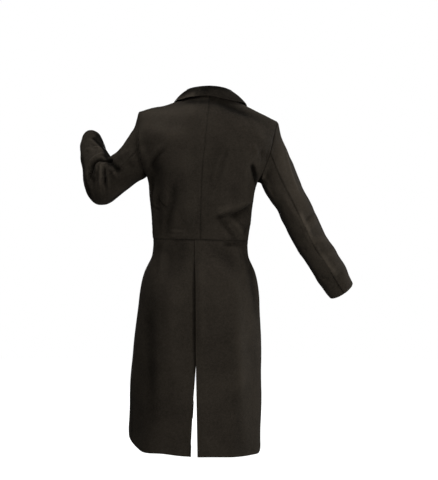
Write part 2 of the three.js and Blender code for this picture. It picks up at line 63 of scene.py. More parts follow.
# The studio
studio = {
    "eyeLevel": -0.48,
    "aside": 0.037,
    "distance": 4.5,
    "viewHeight": 1.632,
    "sensor": 36,
    "floorLevel": -1.52,
    "floorReach": 14.0,
    "backdrop": 1.0,  # what the camera sees behind the coat
    "roomLight": 0.01,  # what the room gives to the cloth from all round
    "lamps": [
        # name, place, aim, size, watts
        ("topLamp", (-1.03, -0.60, 3.99), (0.0, 0.0, -0.45), 2.6, 146),
        ("overLamp", (0.0, -0.80, 4.08), (0.0, 0.0, -0.45), 2.6, 38),
        ("rightLamp", (2.30, -3.98, -0.45), (0.0, 0.0, -0.45), 2.0, 55),
        ("leftLamp", (-2.27, -3.92, 0.35), (0.0, 0.0, -0.45), 2.0, 9),
        ("sleeveLamp", (1.20, -1.20, -0.60), (0.35, 0.0, -0.50), 0.5, 14.8),
        ("shoulderLamp", (-0.75, -0.85, 0.75), (-0.12, -0.10, -0.10), 0.5, 6.5),
        ("farRightLamp", (4.26, 1.55, 0.35), (0.0, 0.0, -0.45), 2.0, 98),
        ("frontLamp", (-0.60, 4.60, 0.60), (0.0, 0.0, -0.45), 2.0, 110),
    ],
}


def makeWorld():
    # a white backdrop for the eye, and softer light from all round for the cloth
    world = bpy.data.worlds.new("studioWorld")
    world.use_nodes = True
    nodes = world.node_tree.nodes
    links = world.node_tree.links
    room = nodes["Background"]
    room.inputs["Strength"].default_value = studio["roomLight"]
    backdrop = nodes.new("ShaderNodeBackground")
    backdrop.inputs["Strength"].default_value = studio["backdrop"]
    for shader in (room, backdrop):
        shader.inputs["Color"].default_value = (1, 1, 1, 1)
    choice = nodes.new("ShaderNodeMixShader")
    links.new(nodes.new("ShaderNodeLightPath").outputs["Is Camera Ray"], choice.inputs[0])
    links.new(room.outputs[0], choice.inputs[1])
    links.new(backdrop.outputs[0], choice.inputs[2])
    links.new(choice.outputs[0], nodes["World Output"].inputs["Surface"])
    scene.world = world


def makeStudio():
    camera = bpy.data.objects.new("camera", bpy.data.cameras.new("camera"))
    camera.data.sensor_width = studio["sensor"]
    camera.data.lens = studio["sensor"] * studio["distance"] / studio["viewHeight"]
    camera.location = (studio["aside"], -studio["distance"], studio["eyeLevel"])
    camera.rotation_euler = Vector((0, 1, 0)).to_track_quat("-Z", "Y").to_euler()
    scene.collection.objects.link(camera)
    scene.camera = camera
    for name, place, aim, size, watts in studio["lamps"]:
        lamp = bpy.data.objects.new(name, bpy.data.lights.new(name, "AREA"))
        lamp.data.shape = "DISK"
        lamp.data.size = size
        lamp.data.energy = watts
        lamp.location = place
        lamp.rotation_euler = (Vector(aim) - Vector(place)).to_track_quat("-Z", "Y").to_euler()
        scene.collection.objects.link(lamp)
    makeWorld()
    scene.view_settings.view_transform = "Standard"
    bpy.ops.object.select_all(action="DESELECT")
    bpy.ops.mesh.primitive_plane_add(size=studio["floorReach"], location=(0, 0, studio["floorLevel"]))
    floor = bpy.context.object
    floor.name = "floor"
    return floor


floor = makeStudio()
print("studio: camera, lamps and floor are in place")


# The form of the coat: a worn body that rounds over at the shoulders
body = {
    "clothThick": 2.0,
    "waist": -480,
    "hem": -1194,
    "crest": -165,  # the coat stands upright to here, then rounds over to the shoulder seam
    "crestRoll": 230,  # length of cloth from the crest to the shoulder seam
    "neckWide": 82,
    "nape": 5,
    "shoulderWide": 235,
    "shoulderFall": 0.42,
    "neckRound": 45,
    "armpit": -275,
    "boxiness": 2.4,  # 2 is an ellipse, more is squarer
    "lapStep": 2,  # where two layers lap, the upper one rises by this and the lower one sinks
}
crestClimb = body["crest"] - body["waist"]
grain = {"back": 3.2, "sleeve": 2.6, "collar": 3.2, "plain": 5.0}  # size of the mesh's cells
sides = (("left", -1), ("right", 1))

levels = table(
    "height wide back front",
    (-165, 240, 130, 126),
    (-225, 221, 129, 128),
    (-275, 187, 126, 127),
    (-343, 176, 120, 123),
    (-430, 166, 109, 114),
    (-480, 161, 105, 109),
    (-510, 162, 107, 110),
    (-536, 166, 112, 112),
    (-562, 177, 119, 115),
    (-590, 188, 126, 117),
    (-643, 199, 135, 119),
    (-700, 206, 141, 120),
    (-790, 213, 144, 120),
    (-900, 219, 146, 119),
    (-1030, 223, 148, 118),
    (-1194, 225, 150, 116),
)

# The stance: how far each level sways to the wearer's right, and how much it tips down that side
stance = table(
    "height sway tip",
    (60, 13, 0.07),
    (0, 5, 0.072),
    (-65, 0, 0.072),
    (-165, -10, 0.066),
    (-275, -20, 0.054),
    (-480, -25.5, 0.018),
    (-640, -29, 0),
    (-900, -39, 0.01),
    (-1194, -47, 0.02),
)

# Where the cloth has settled: the middle of each place, how far it reaches, and its rise
settled = table(
    "wide height broad tall rise",
    (-138, -20, 34, 60, -9.5),  # the left shoulder, beside the collar
    (-93, 12, 15, 36, -6),
    (-165, -1210, 42, 60, 9),  # the left tail's hem
)


def smoothThrough(keys, values, at):
    # a smooth curve through values, one row for each key, read at the places at
    at = np.clip(at, keys[0], keys[-1])
    i = np.clip(np.searchsorted(keys, at, side="right") - 1, 0, len(keys) - 2)
    before = np.maximum(i - 1, 0)
    after = np.minimum(i + 2, len(keys) - 1)

    def fit(numbers):
        return numbers.reshape(numbers.shape + (1,) * (values.ndim - 1))

    span = keys[i + 1] - keys[i]
    t = fit((at - keys[i]) / span)
    leave = (values[i + 1] - values[before]) * fit(span / (keys[i + 1] - keys[before]))
    arrive = (values[after] - values[i]) * fit(span / (keys[after] - keys[i]))
    start = values[i] * (1 + 2 * t) * (1 - t) ** 2 + leave * t * (1 - t) ** 2
    return start + values[i + 1] * t * t * (3 - 2 * t) - arrive * t * t * (1 - t)


def readTable(rows, key, column, at):
    order = np.argsort(rows[key])
    return smoothThrough(rows[key][order], rows[column][order], np.asarray(at, float))


def smoothStep(x, low, high):
    t = np.clip((x - low) / (high - low), 0, 1)
    return t * t * (3 - 2 * t)


def power(value, exponent):
    return np.sign(value) * np.abs(value) ** exponent


def unit(vectors):
    return vectors / np.maximum(np.linalg.norm(vectors, axis=-1, keepdims=True), 1e-9)


def reachAlong(points, axis=0):
    # how far along a line, or along the lines of a grid, each of its points is
    steps = np.linalg.norm(np.diff(points, axis=axis), axis=-1)
    start = np.zeros_like(np.take(steps, [0], axis=axis))
    return np.concatenate([start, steps.cumsum(axis=axis)], axis=axis)


def shoulderHeight(wide):
    neck = np.hypot(body["neckWide"], body["neckRound"])
    return body["shoulderFall"] * (neck - np.hypot(wide, body["neckRound"]))


# A spot on the coat is its turn round the body, from 0 at the centre back through 90 at the side to
# 180 at the centre front, and its climb, the length of cloth up from the waist seam.
def spotOf(wide, height, onFront=False):
    wide, height = np.broadcast_arrays(np.asarray(wide, float), np.asarray(height, float))
    share = wide / readTable(levels, "height", "wide", np.minimum(height, body["crest"]))
    turn = np.degrees(np.arcsin(np.clip(power(share, body["boxiness"] / 2), -1, 1)))
    rise = (height - body["crest"]) / (shoulderHeight(abs(wide)) - body["crest"])
    rolled = crestClimb + body["crestRoll"] * np.degrees(np.arcsin(np.clip(rise, 0, 1))) / 90
    climb = np.where(height > body["crest"], rolled, height - body["waist"])
    return np.stack([180 - turn if onFront else turn, climb], axis=-1)


def frontSpot(wide, height):
    return spotOf(wide, height, True)


# The upright, even-sided coat
def standingPoint(spots):
    turn, climb = spots[..., 0], spots[..., 1]
    over = np.radians(np.maximum(climb - crestClimb, 0) / body["crestRoll"] * 90)
    level = body["waist"] + np.minimum(climb, crestClimb)
    angle = np.radians(turn)
    wide = readTable(levels, "height", "wide", level) * power(np.sin(angle), 2 / body["boxiness"])
    behind = (turn < 90) == (over < np.pi / 2)
    backDepth = readTable(levels, "height", "back", level)
    depth = np.where(behind, backDepth, readTable(levels, "height", "front", level))
    lean = np.maximum(1 - np.abs(np.sin(over)) ** body["boxiness"], 0) ** (1 / body["boxiness"])
    deep = -depth * power(np.cos(angle), 2 / body["boxiness"]) * lean * np.sign(np.cos(over))
    height = level + (shoulderHeight(np.abs(wide)) - level) * np.sin(over)
    return np.stack([wide, deep, height], axis=-1)


# The same points once the wearer stands easy
def worn(side, spots):
    x, y, z = np.moveaxis(standingPoint(spots), -1, 0)
    x = x * side
    sway = readTable(stance, "height", "sway", z)
    x, z = x + sway, z - readTable(stance, "height", "tip", z) * x
    rise = 0
    for wide, height, broad, tall, most in zip(*settled.values()):
        rise = rise + most * np.exp(-(((x - wide) / broad) ** 2 + ((z - height) / tall) ** 2) / 2)
    return np.stack([x, y, z + rise], axis=-1)


def outward(side, spots):
    small = 0.6
    across = worn(side, spots + [small, 0]) - worn(side, spots - [small, 0])
    up = worn(side, spots + [0, small]) - worn(side, spots - [0, small])
    return unit(np.cross(across, up) * side)


def laid(side, spots, lift):
    return worn(side, spots) + outward(side, spots) * np.asarray(lift)[..., None]


# Close rows let a sewn edge turn in and a free edge round over.
closeRows = np.array([0, 0.12, 0.45, 1.0, 1.8, 2.9, 4.4, 6.4])


def sharesAlong(length, cell, closeStart=True, closeEnd=True):
    start = closeRows / length if closeStart else np.zeros(1)
    end = 1 - closeRows[::-1] / length if closeEnd else np.ones(1)
    count = max(int(round((end[0] - start[-1]) * length / cell)), 2)
    return np.concatenate([start, np.linspace(start[-1], end[0], count + 1)[1:-1], end])


def lineLength(points):
    return np.linalg.norm(np.diff(points, axis=0), axis=1).sum()


def alongLine(spots, shares):
    reach = reachAlong(standingPoint(spots))
    return np.stack([np.interp(shares * reach[-1], reach, column) for column in spots.T], axis=-1)


def tableSpots(rows, toSpots, steps=30):
    # closely spaced spots along a table, smooth between its rows
    columns = np.stack(list(rows.values()), axis=-1)
    last = len(columns) - 1
    numbers = np.linspace(0, last, steps * last + 1)
    return toSpots(*smoothThrough(np.arange(last + 1, dtype=float), columns, numbers).T)


def straightSpots(start, end, count=120):
    t = np.linspace(0, 1, count)[:, None]
    return np.asarray(start) * (1 - t) + np.asarray(end) * t


def joined(*lines):
    return np.concatenate([lines[0], *[line[1:] for line in lines[1:]]])


def fillPatch(low, high, near, far, across, up):
    # four edges of spots, each from its own start, and the grid between them
    low, high = alongLine(low, across), alongLine(high, across)
    near, far = alongLine(near, up)[:, None], alongLine(far, up)[:, None]
    u, v = across[None, :, None], up[:, None, None]
    corners = (low[0] * (1 - u) + low[-1] * u) * (1 - v) + (high[0] * (1 - u) + high[-1] * u) * v
    return low[None] * (1 - v) + high[None] * v + near * (1 - u) + far * u - corners


def patchShares(low, high, near, far, cell):
    foot, top, start, end = [lineLength(standingPoint(edge)) for edge in (low, high, near, far)]
    return sharesAlong((foot + top) / 2, cell), sharesAlong((start + end) / 2, cell)


shoulderEnd = (body["shoulderWide"], shoulderHeight(body["shoulderWide"]))
backArmhole = table(
    "wide height",
    (187, body["armpit"]),
    (194, -263),
    (203, -238),
    (214, -200),
    (223, -150),
    (228, -105),
    shoulderEnd,
)
frontArmhole = table(
    "wide height",
    (187, body["armpit"]),
    (192, -264),
    (197, -238),
    (201, -200),
    (209, -150),
    (221, -105),
    shoulderEnd,
)
backHole = tableSpots(backArmhole, spotOf)
frontHole = tableSpots(frontArmhole, frontSpot)
sideSeam = straightSpots((90, 0), (90, body["armpit"] - body["waist"]))
neckSeam = table("wide height", (0, body["nape"]), (30, 3.7), (60, 2), (body["neckWide"], 0))
neckSpots = tableSpots(neckSeam, spotOf)


def shoulderSpots(onFront, count=90):
    wide = np.linspace(body["neckWide"], body["shoulderWide"], count)
    return spotOf(wide, shoulderHeight(wide), onFront)


# Each piece is a grid of points on one side of its wall. kinds says which of its edges are sewn (1) and
# which are free (0), as a number or as one number for each point of the edge.
pieces = {}


def addPiece(name, side, points, **kinds):
    if side < 0:
        points = points[:, ::-1]
        kinds["near"], kinds["far"] = kinds["far"], kinds["near"]
        for edge in ("low", "high"):
            kinds[edge] = np.broadcast_to(kinds[edge], points.shape[1])[::-1]
    pieces[name] = {"points": points, "kinds": kinds, "seenSide": 1}


def makeBacks():
    high = joined(neckSpots, shoulderSpots(False))
    near = straightSpots((0, 0), (0, high[0, 1]))
    edges = (straightSpots((0, 0), (90, 0)), high, near, joined(sideSeam, backHole))
    spots = fillPatch(*edges, *patchShares(*edges, grain["back"]))
    for name, side in sides:
        addPiece(f"back_{name}", side, worn(side, spots), low=1, high=1, near=1, far=1)


fronts = {
    "lap": 15,  # each front passes the centre front by this at the button
    "lapWhole": 55,  # the lap's lift is whole this near to the centre front,
    "lapGone": 110,  # and gone this far from it
    "rollStart": -372,  # the lapels turn back above this height,
    "lapEase": (20, 90),  # and the lap's lift dies away between these climbs above it
    "gorge": (66, -66),
    "seamEase": 0.01,  # the share of the edge over which the collar seam sets in
}
rollStart = (2, fronts["rollStart"])
closingLine = table("wide height", (-fronts["lap"], body["waist"]), (-fronts["lap"], -412), rollStart)
rollLine = table("wide height", rollStart, (21, -300), (45, -180), fronts["gorge"])
collarSeam = table("wide height", fronts["gorge"], (77, -24), (body["neckWide"], 0))
closingSpots, rollSpots, gorgeSpots = [
    tableSpots(rows, frontSpot) for rows in (closingLine, rollLine, collarSeam)
]


# The left front laps over the right one from the waist to where the lapels turn.
def frontLift(side, spots):
    lapTop = fronts["rollStart"] - body["waist"]
    easeStart, easeEnd = [lapTop + climb for climb in fronts["lapEase"]]
    nearEdge = 1 - smoothStep(standingPoint(spots)[..., 0], fronts["lapWhole"], fronts["lapGone"])
    return -side * body["lapStep"] * nearEdge * (1 - smoothStep(spots[..., 1], easeStart, easeEnd))


def makeFronts():
    far = joined(closingSpots, rollSpots, gorgeSpots)
    low = straightSpots((90, 0), far[0])
    edges = (low, shoulderSpots(True)[::-1], joined(sideSeam, frontHole), far)
    across, up = patchShares(*edges, grain["plain"])
    spots = fillPatch(*edges, across, up)
    sewnToTail = (spots[0, :, 0] < tailFrontTurn()).astype(float)
    free, whole = [lineLength(standingPoint(line)) for line in (joined(closingSpots, rollSpots), far)]
    sewnToCollar = smoothStep(up, free / whole - fronts["seamEase"], free / whole + fronts["seamEase"])
    for name, side in sides:
        points = laid(side, spots, frontLift(side, spots))
        addPiece(f"front_{name}", side, points, low=sewnToTail, high=1, near=1, far=sewnToCollar)


tails = {
    "lap": 18,  # each tail passes the centre back by this at the waist
    "splay": 13,  # and stays short of it by this at the hem
    "lapWhole": 12,  # the lap's lift is whole this near to the centre back,
    "lapGone": 70,  # and gone this far from it
    "stand": 4,  # the upper tail stands off this much more,
    "standEase": (20, 160),  # from nothing to all of it between these depths below the waist
    "frontShare": 0.4,  # of the way round the front from the side seam, where a tail's front edge starts
}
# The free front edge of each tail, down to the middle of its rounded corner, and its hem from the
# centre back to there
tailFronts = {
    "left": table(
        "turn height",
        (127, body["waist"]),
        (124, -640),
        (115, -820),
        (103, -1000),
        (92, -1095),
        (78, -1145),
    ),
    "right": table(
        "turn height",
        (127, body["waist"]),
        (125, -640),
        (119, -820),
        (110, -1000),
        (103, -1105),
        (93, -1155),
    ),
}
tailHems = {
    "left": table("turn height", (0, body["hem"]), (38, body["hem"]), (58, -1178), (78, -1145)),
    "right": table("turn height", (0, body["hem"]), (60, body["hem"]), (78, -1187), (93, -1155)),
}
# Soft ridges and troughs that run down the tails: where they lie round the body, and the heights at
# which they start to show and are full
tailFolds = table(
    "turn spread rise starts full",
    (33, 9, 6, -620, -960),
    (58, 12, -7, -640, -1000),
    (108, 12, 6, -560, -840),
)


def tailFrontTurn():
    return 90 + tails["frontShare"] * (closingSpots[0, 0] - 90)


# The right tail laps over the left one, and stands off it below the waist.
def tailLift(side, spots):
    turn, height = spots[..., 0], body["waist"] + spots[..., 1]
    nearEdge = 1 - smoothStep(standingPoint(spots)[..., 0], tails["lapWhole"], tails["lapGone"])
    stand = tails["stand"] * smoothStep(-spots[..., 1], *tails["standEase"]) if side > 0 else 0
    lift = (side * body["lapStep"] + stand) * nearEdge
    for at, spread, rise, starts, full in zip(*tailFolds.values()):
        lift = lift + rise * np.exp(-(((turn - at) / spread) ** 2)) * (1 - smoothStep(height, full, starts))
    return lift


def makeTails(count=150):
    def fromHeight(turn, height):
        return np.stack([turn, height - body["waist"]], axis=-1)

    share = np.linspace(0, 1, count)
    wide = tails["splay"] + (-tails["lap"] - tails["splay"]) * share
    near = spotOf(wide, body["hem"] + (body["waist"] - body["hem"]) * share)
    pastCentre = straightSpots(near[-1], (0, 0), count=8)
    high = joined(pastCentre, straightSpots((0, 0), (tailFrontTurn(), 0)))
    for name, side in sides:
        far = tableSpots(tailFronts[name], fromHeight)[::-1].copy()
        low = tableSpots(tailHems[name], fromHeight)
        far[-1], low[0] = high[-1], near[0]
        edges = (low, high, near, far)
        spots = fillPatch(*edges, *patchShares(*edges, grain["plain"]))
        points = laid(side, spots, tailLift(side, spots))
        addPiece(f"tail_{name}", side, points, low=0, high=1, near=0, far=0)


makeBacks()
makeFronts()
makeTails()
print("body: backs, fronts and tails are laid out")


sleeves = {
    "round": 20,  # places round a sleeve, from its outer edge over the back,
    "hindSeam": 5,  # and the ones at which its seams lie
    "foreSeam": 14,
}
# Sleeve sections where they lie: the outer and inner edges as seen from behind, how far the middle is
# ahead of the shoulders, and half the depth
sleeveSections = {
    "right": table(
        "outX outZ inX inZ ahead deep",
        (250, -132, 179, -288, 6, 62),
        (268, -176, 186, -302, 8, 63),
        (288, -222, 195, -320, 10, 62),
        (309, -268, 211, -344, 13, 60),
        (334, -323, 235, -379, 17, 58),
        (358, -370, 253, -418, 24, 56),
        (381, -420, 278, -467, 36, 54),
        (407, -469, 306, -515, 55, 52),
        (445, -523, 345, -569, 78, 49),
        (479, -579, 380, -625, 101, 44),
        (503, -630, 424, -682, 122, 40),
    ),
    "left": table(
        "outX outZ inX inZ ahead deep",
        (-247, -88, -217, -270, 7, 61),
        (-262, -114, -232, -279, 9, 61),
        (-281, -147, -257, -293, 14, 60),
        (-302, -173, -286, -313, 22, 58),
        (-323, -188, -319, -339, 33, 57),
        (-335, -196, -352, -357, 43, 56),
        (-338, -198, -385, -356, 53, 54),
        (-341, -194, -409, -330, 67, 52),
        (-344, -184, -422, -286, 90, 50),
        (-351, -172, -433, -241, 119, 49),
        (-360, -158, -446, -199, 151, 49),
        (-369, -141, -452, -163, 183, 48),
        (-380, -123, -451, -127, 212, 47),
    ),
}


# Rings of a sleeve from the armhole to the cuff. A ring starts at the outer edge and runs behind the arm
# to the inner edge, then in front of it back to the start. at holds the places round it.
def sleeveRings(side, sections, at):
    half = sleeves["round"] / 2
    turns = at % sleeves["round"]
    hindHole = worn(side, alongLine(backHole[::-1], np.clip(turns / half, 0, 1)))
    foreHole = worn(side, alongLine(frontHole, np.clip(turns / half - 1, 0, 1)))
    rings = [np.where(turns[:, None] <= half, hindHole, foreHole)]
    outer = np.stack([sections["outX"], sections["ahead"], sections["outZ"]], axis=-1)
    inner = np.stack([sections["inX"], sections["ahead"], sections["inZ"]], axis=-1)
    middles = (outer + inner) / 2
    angle = 2 * np.pi * turns[:, None] / sleeves["round"]
    last = len(middles) - 1
    for i, middle in enumerate(middles):
        axis = unit(middles[min(i + 1, last)] - middles[max(i - 1, 0)])
        halfWide = (outer[i] - inner[i]) / 2
        toBack = unit(np.cross(axis, halfWide)) * side * sections["deep"][i]
        rings.append(middle + halfWide * np.cos(angle) + toBack * np.sin(angle))
    return np.array(rings)


def makeSleeves(rough=12):
    gores = {
        "under_sleeve": (sleeves["hindSeam"], sleeves["foreSeam"]),
        "top_sleeve": (sleeves["foreSeam"], sleeves["round"] + sleeves["hindSeam"]),
    }
    for name, side in sides:
        sections = sleeveSections[name]
        for gore, (start, end) in gores.items():
            roughRings = sleeveRings(side, sections, np.linspace(start, end, rough))
            wide = np.mean([lineLength(ring) for ring in roughRings])
            at = start + (end - start) * sharesAlong(wide, grain["sleeve"])
            rings = sleeveRings(side, sections, at)
            reach = reachAlong(rings.mean(axis=1))
            tall = lineLength(rings[:, len(at) // 2])
            points = smoothThrough(reach, rings, sharesAlong(tall, grain["sleeve"]) * reach[-1])
            addPiece(f"{gore}_{name}", side, points, low=1, high=0, near=1, far=1)


makeSleeves()
print("sleeves: top and under sleeves are laid out")


collar = {
    "neckShare": 4 / 7,  # the share of the collar that is sewn to the neck seam, the rest to the gorge
    "longer": 1.35,  # the outer edge is this much longer than the seam
    "standLong": 30,
    "fallLong": 46,
    "fold": 1.6,  # the radius of the roll,
    "bendSteps": 9,  # and the points round it
    "bow": 2,  # the turned-down part bows out by this
}
# The collar from the centre back (0) to the gorge (1): how far its roll stands off the coat and leans over
# the neck, how far out its edge is, over how much of the shoulder (90 is the top), and how far that lifts
collarLines = {
    -1: table(
        "along off lean wide over lift",
        (0, 22, 21, 0, 60, 8),
        (0.28, 20, 21, 52, 62, 7),
        (0.43, 19, 19.5, 89, 71, 6),
        (0.571, 19, 17, 112, 87, 5),
        (0.71, 16, 13, 122, 112, 5),
        (0.86, 11, 7, 120, 133, 5),
        (1, 5, 3, 106, 150.4, 4),
    ),
    1: table(
        "along off lean wide over lift",
        (0, 22, 21, 0, 60, 8),
        (0.28, 23, 21, 54, 61, 8),
        (0.43, 23.5, 20.5, 96, 70, 7),
        (0.571, 23, 20, 121, 88, 6),
        (0.71, 19, 14, 127, 112, 6),
        (0.86, 11, 7, 121, 133, 5),
        (1, 5, 3, 106, 150.4, 4),
    ),
}


def collarHalf(side, along, spots):
    row = {name: readTable(collarLines[side], "along", name, along)[:, None] for name in collarLines[side]}
    foot, normal = worn(side, spots), outward(side, spots)
    onward = np.gradient(np.concatenate([worn(-side, spots[1:2]), foot]), axis=0)[1:]
    inward = unit(np.cross(normal, onward) * side)
    roll = foot + normal * row["off"] + inward * row["lean"]
    edgeSpots = spotOf(row["wide"][:, 0], body["crest"])
    edgeSpots[:, 1] = crestClimb + body["crestRoll"] * row["over"][:, 0] / 90
    edge = laid(side, edgeSpots, row["lift"][:, 0])
    up = unit(roll - foot)
    away = unit(edge - roll)
    away = unit(away - up * (away * up).sum(axis=-1, keepdims=True))
    stand = sharesAlong(collar["standLong"], grain["collar"], closeEnd=False)[:, None, None]
    bend = np.radians(np.linspace(0, 180, collar["bendSteps"])[1:-1])[:, None, None]
    t = sharesAlong(collar["fallLong"], grain["collar"], closeStart=False)[:, None, None]
    turned = (roll + away * collar["fold"]) * (1 - t) + edge * t
    rows = [
        foot + (roll - away * collar["fold"] - foot) * stand,
        roll + (up * np.sin(bend) - away * np.cos(bend)) * collar["fold"],
        turned + (up + away) * collar["bow"] * 4 * t * (1 - t),
    ]
    return np.concatenate(rows).swapaxes(0, 1)


def makeCollar():
    long = lineLength(standingPoint(neckSpots)) + lineLength(standingPoint(gorgeSpots))
    along = sharesAlong(long * collar["longer"], grain["collar"], closeStart=False)
    share = collar["neckShare"]
    neckPart = alongLine(neckSpots, np.clip(along / share, 0, 1))
    gorgePart = alongLine(gorgeSpots[::-1], np.clip((along - share) / (1 - share), 0, 1))
    spots = np.where((along <= share)[:, None], neckPart, gorgePart)
    left, right = [collarHalf(side, along, spots) for side in (-1, 1)]
    addPiece("collar", -1, np.concatenate([left[::-1], right[1:]]), low=0, high=0, near=1, far=0)
    pieces["collar"]["seenSide"] = -1


lapels = {
    "notch": (106, -88),
    "tip": (144, -107),
    "gap": 0.3,  # from the front, at the roll line
    "lift": 3.4,
    "liftRun": 14,  # the lapel reaches its lift this far in from the roll line
}
lapelFoot = (8, fronts["rollStart"])
lapelEdge = table("wide height", lapelFoot, (46, -318), (92, -238), (127, -160), lapels["tip"])


def makeLapels():
    far = tableSpots(lapelEdge, frontSpot)
    notchSpot = frontSpot(*lapels["notch"])
    toNotch = straightSpots(rollSpots[-1], notchSpot, count=40)
    high = joined(toNotch, straightSpots(notchSpot, far[-1], count=40))
    edges = (straightSpots(rollSpots[0], far[0], count=20), high, rollSpots, far)
    spots = fillPatch(*edges, *patchShares(*edges, grain["plain"]))
    sewn = (spots[-1, :, 0] > notchSpot[0]).astype(float)
    for name, side in sides:
        shareIn = smoothStep(reachAlong(worn(side, spots), axis=1), 0, lapels["liftRun"])
        lift = lapels["gap"] + (lapels["lift"] - lapels["gap"]) * shareIn
        points = laid(side, spots, frontLift(side, spots) + lift)
        addPiece(f"lapel_{name}", side, points, low=0, high=sewn, near=0, far=0)


makeCollar()
makeLapels()
print("collar and lapels are laid out")


class Fold:
    # A soft trough or ridge: how broad it is, how far it sinks (-) or stands out (+), and where it runs.
    # bite is the share of its rise by which the cloth falls away beside it, to the left of its run. shade
    # is how much painted shade it adds to the colour in a trough, and painted light on a ridge, and fade
    # the share of its run in which each end dies away.
    def __init__(self, broad, rise, *run, bite=0, shade=0, fade=0.3):
        self.broad, self.rise, self.run = broad, rise, run
        self.bite, self.shade, self.fade = bite, shade, fade


# The folds, by where they are seen from and by the ending of the names of the pieces that they cross
folds = {}
# the left back: the crease out of the armpit, and the cloth that falls away beside the shoulder blade, with
# painted light over the top of the shoulder and painted shade in the hollows and under the collar
folds["behind", "back_left"] = [
    Fold(8, -6, (-207, -252), (-194, -221), (-167, -187), (-136, -163)),
    Fold(8, 3, (-214, -224), (-194, -197), (-170, -170), (-146, -153)),
    Fold(15, -7, (-194, -207), (-190, -269), (-187, -343)),
    Fold(22, 4, (-78, -133), (-71, -248), (-68, -360), (-65, -459)),
    Fold(20, -5, (-177, -173), (-173, -258), (-163, -360), (-153, -479), shade=0.2),
    Fold(15, -6, (-119, -262), (-122, -337), (-136, -405), (-146, -500), shade=0.45),
    Fold(12, -5, (-173, -309), (-173, -384), (-167, -466), shade=0.2),
    Fold(4.5, -3, (-173, -337), (-160, -357), (-136, -374), bite=0.7),
    Fold(5, -2.5, (-194, -354), (-184, -371), (-163, -384), bite=0.5),
    Fold(30, 5, (-272, -92), (-197, -102), (-122, -119), (-27, -139), shade=0.4),
    Fold(14, -2, (-238, -167), (-197, -153), (-136, -139)),
    Fold(26, 2, (-299, -58), (-197, -48), (-95, -44), (27, -44), shade=0.35),
    Fold(6, 2, (-136, -449), (-109, -452), (-75, -452), bite=0.6),
    Fold(5, 1.6, (-136, -466), (-105, -466), (-68, -462), bite=0.6),
    Fold(7, 1.6, (-92, -391), (-71, -418), (-54, -456), bite=-0.5),
    Fold(6, 1.2, (-41, -309), (-48, -384), (-51, -466)),
    Fold(14, -2.5, (-109, -14), (-54, -8), (-7, -7), (95, -10), shade=1),
]
# the left side, over its back, sleeve, front and tail: painted light beside the armhole and painted shade
# along the outline, where the cloth turns away from the light
folds["behind", "left"] = [
    Fold(13, 4, (-238, -78), (-228, -167), (-211, -275)),
    Fold(14, 1, (-231, -139), (-214, -201), (-190, -275), shade=0.45),
    Fold(7, -0.5, (-204, -235), (-199, -343), (-194, -432), (-187, -534), shade=0.9),
    Fold(7, -0.5, (-201, -248), (-192, -326), (-189, -411), (-184, -486), shade=0.8, fade=0.15),
]
# the right back: long soft hollows, a hollow under the collar, and the rumple above the waist, with painted
# shade under the collar, in the hollows and in the rumple
folds["behind", "back_right"] = [
    Fold(16, -6, (41, -126), (14, -224), (-7, -343)),
    Fold(7, 2, (51, -180), (27, -235), (10, -289)),
    Fold(9, -3.5, (71, -160), (48, -221), (17, -323)),
    Fold(9, 2, (78, -173), (65, -221), (41, -289)),
    Fold(22, -7, (-163, 10), (-10, -3), (95, -34), (231, -112), shade=0.9),
    Fold(15, 4, (156, -119), (190, -136), (224, -150)),
    Fold(12, -4, (163, -180), (190, -194), (214, -201)),
    Fold(4.5, -2, (184, -156), (184, -190), (180, -235)),
    Fold(4.5, -2, (204, -150), (201, -194), (194, -241)),
    Fold(9, 2, (126, -218), (129, -275), (136, -337)),
    Fold(24, -4, (82, -275), (95, -337), (95, -418), shade=0.3),
    Fold(7, 3, (170, -201), (163, -173), (150, -146)),
    Fold(8, -9, (146, -214), (155, -241), (162, -265), (170, -296), (177, -337)),
    Fold(8, 6, (17, -401), (48, -384), (95, -367), (156, -340), bite=-0.6, shade=0.1),
    Fold(9, -6.5, (17, -384), (44, -415), (65, -442), (88, -469), (116, -496), shade=0.2),
    Fold(6, 4.5, (61, -391), (92, -428), (122, -473), bite=-0.5),
    Fold(7, -3.5, (88, -391), (112, -422), (136, -459)),
    Fold(6, -4, (116, -469), (129, -445), (143, -418)),
    Fold(6, -3, (31, -476), (78, -479), (143, -476), shade=0.35),
    Fold(7, 2, (10, -456), (24, -425), (41, -398)),
]
# the right side: painted shade in the armpit and in the rumple above the waist
folds["behind", "right"] = [
    Fold(8, -2, (146, -214), (155, -241), (162, -265), (170, -296), (177, -330), shade=1.5, fade=0.2),
    Fold(7, -7.5, (17, -418), (37, -403), (65, -393), (88, -396), (116, -384), (143, -364), (167, -350),
         fade=0.2),
    Fold(14, -6, (41, -422), (85, -405), (126, -388), (170, -364), shade=0.2),
]
# the collar: painted light on its left end and painted shade along its top, where the wearer's head shades
# it
folds["behind", "collar"] = [
    Fold(14, 0.5, (-122, -17), (-95, -2), (-68, 8), (-34, 17), shade=1.1, fade=0.2),
    Fold(16, -0.5, (-41, 31), (0, 37), (48, 37), (82, 24), shade=0.5),
]
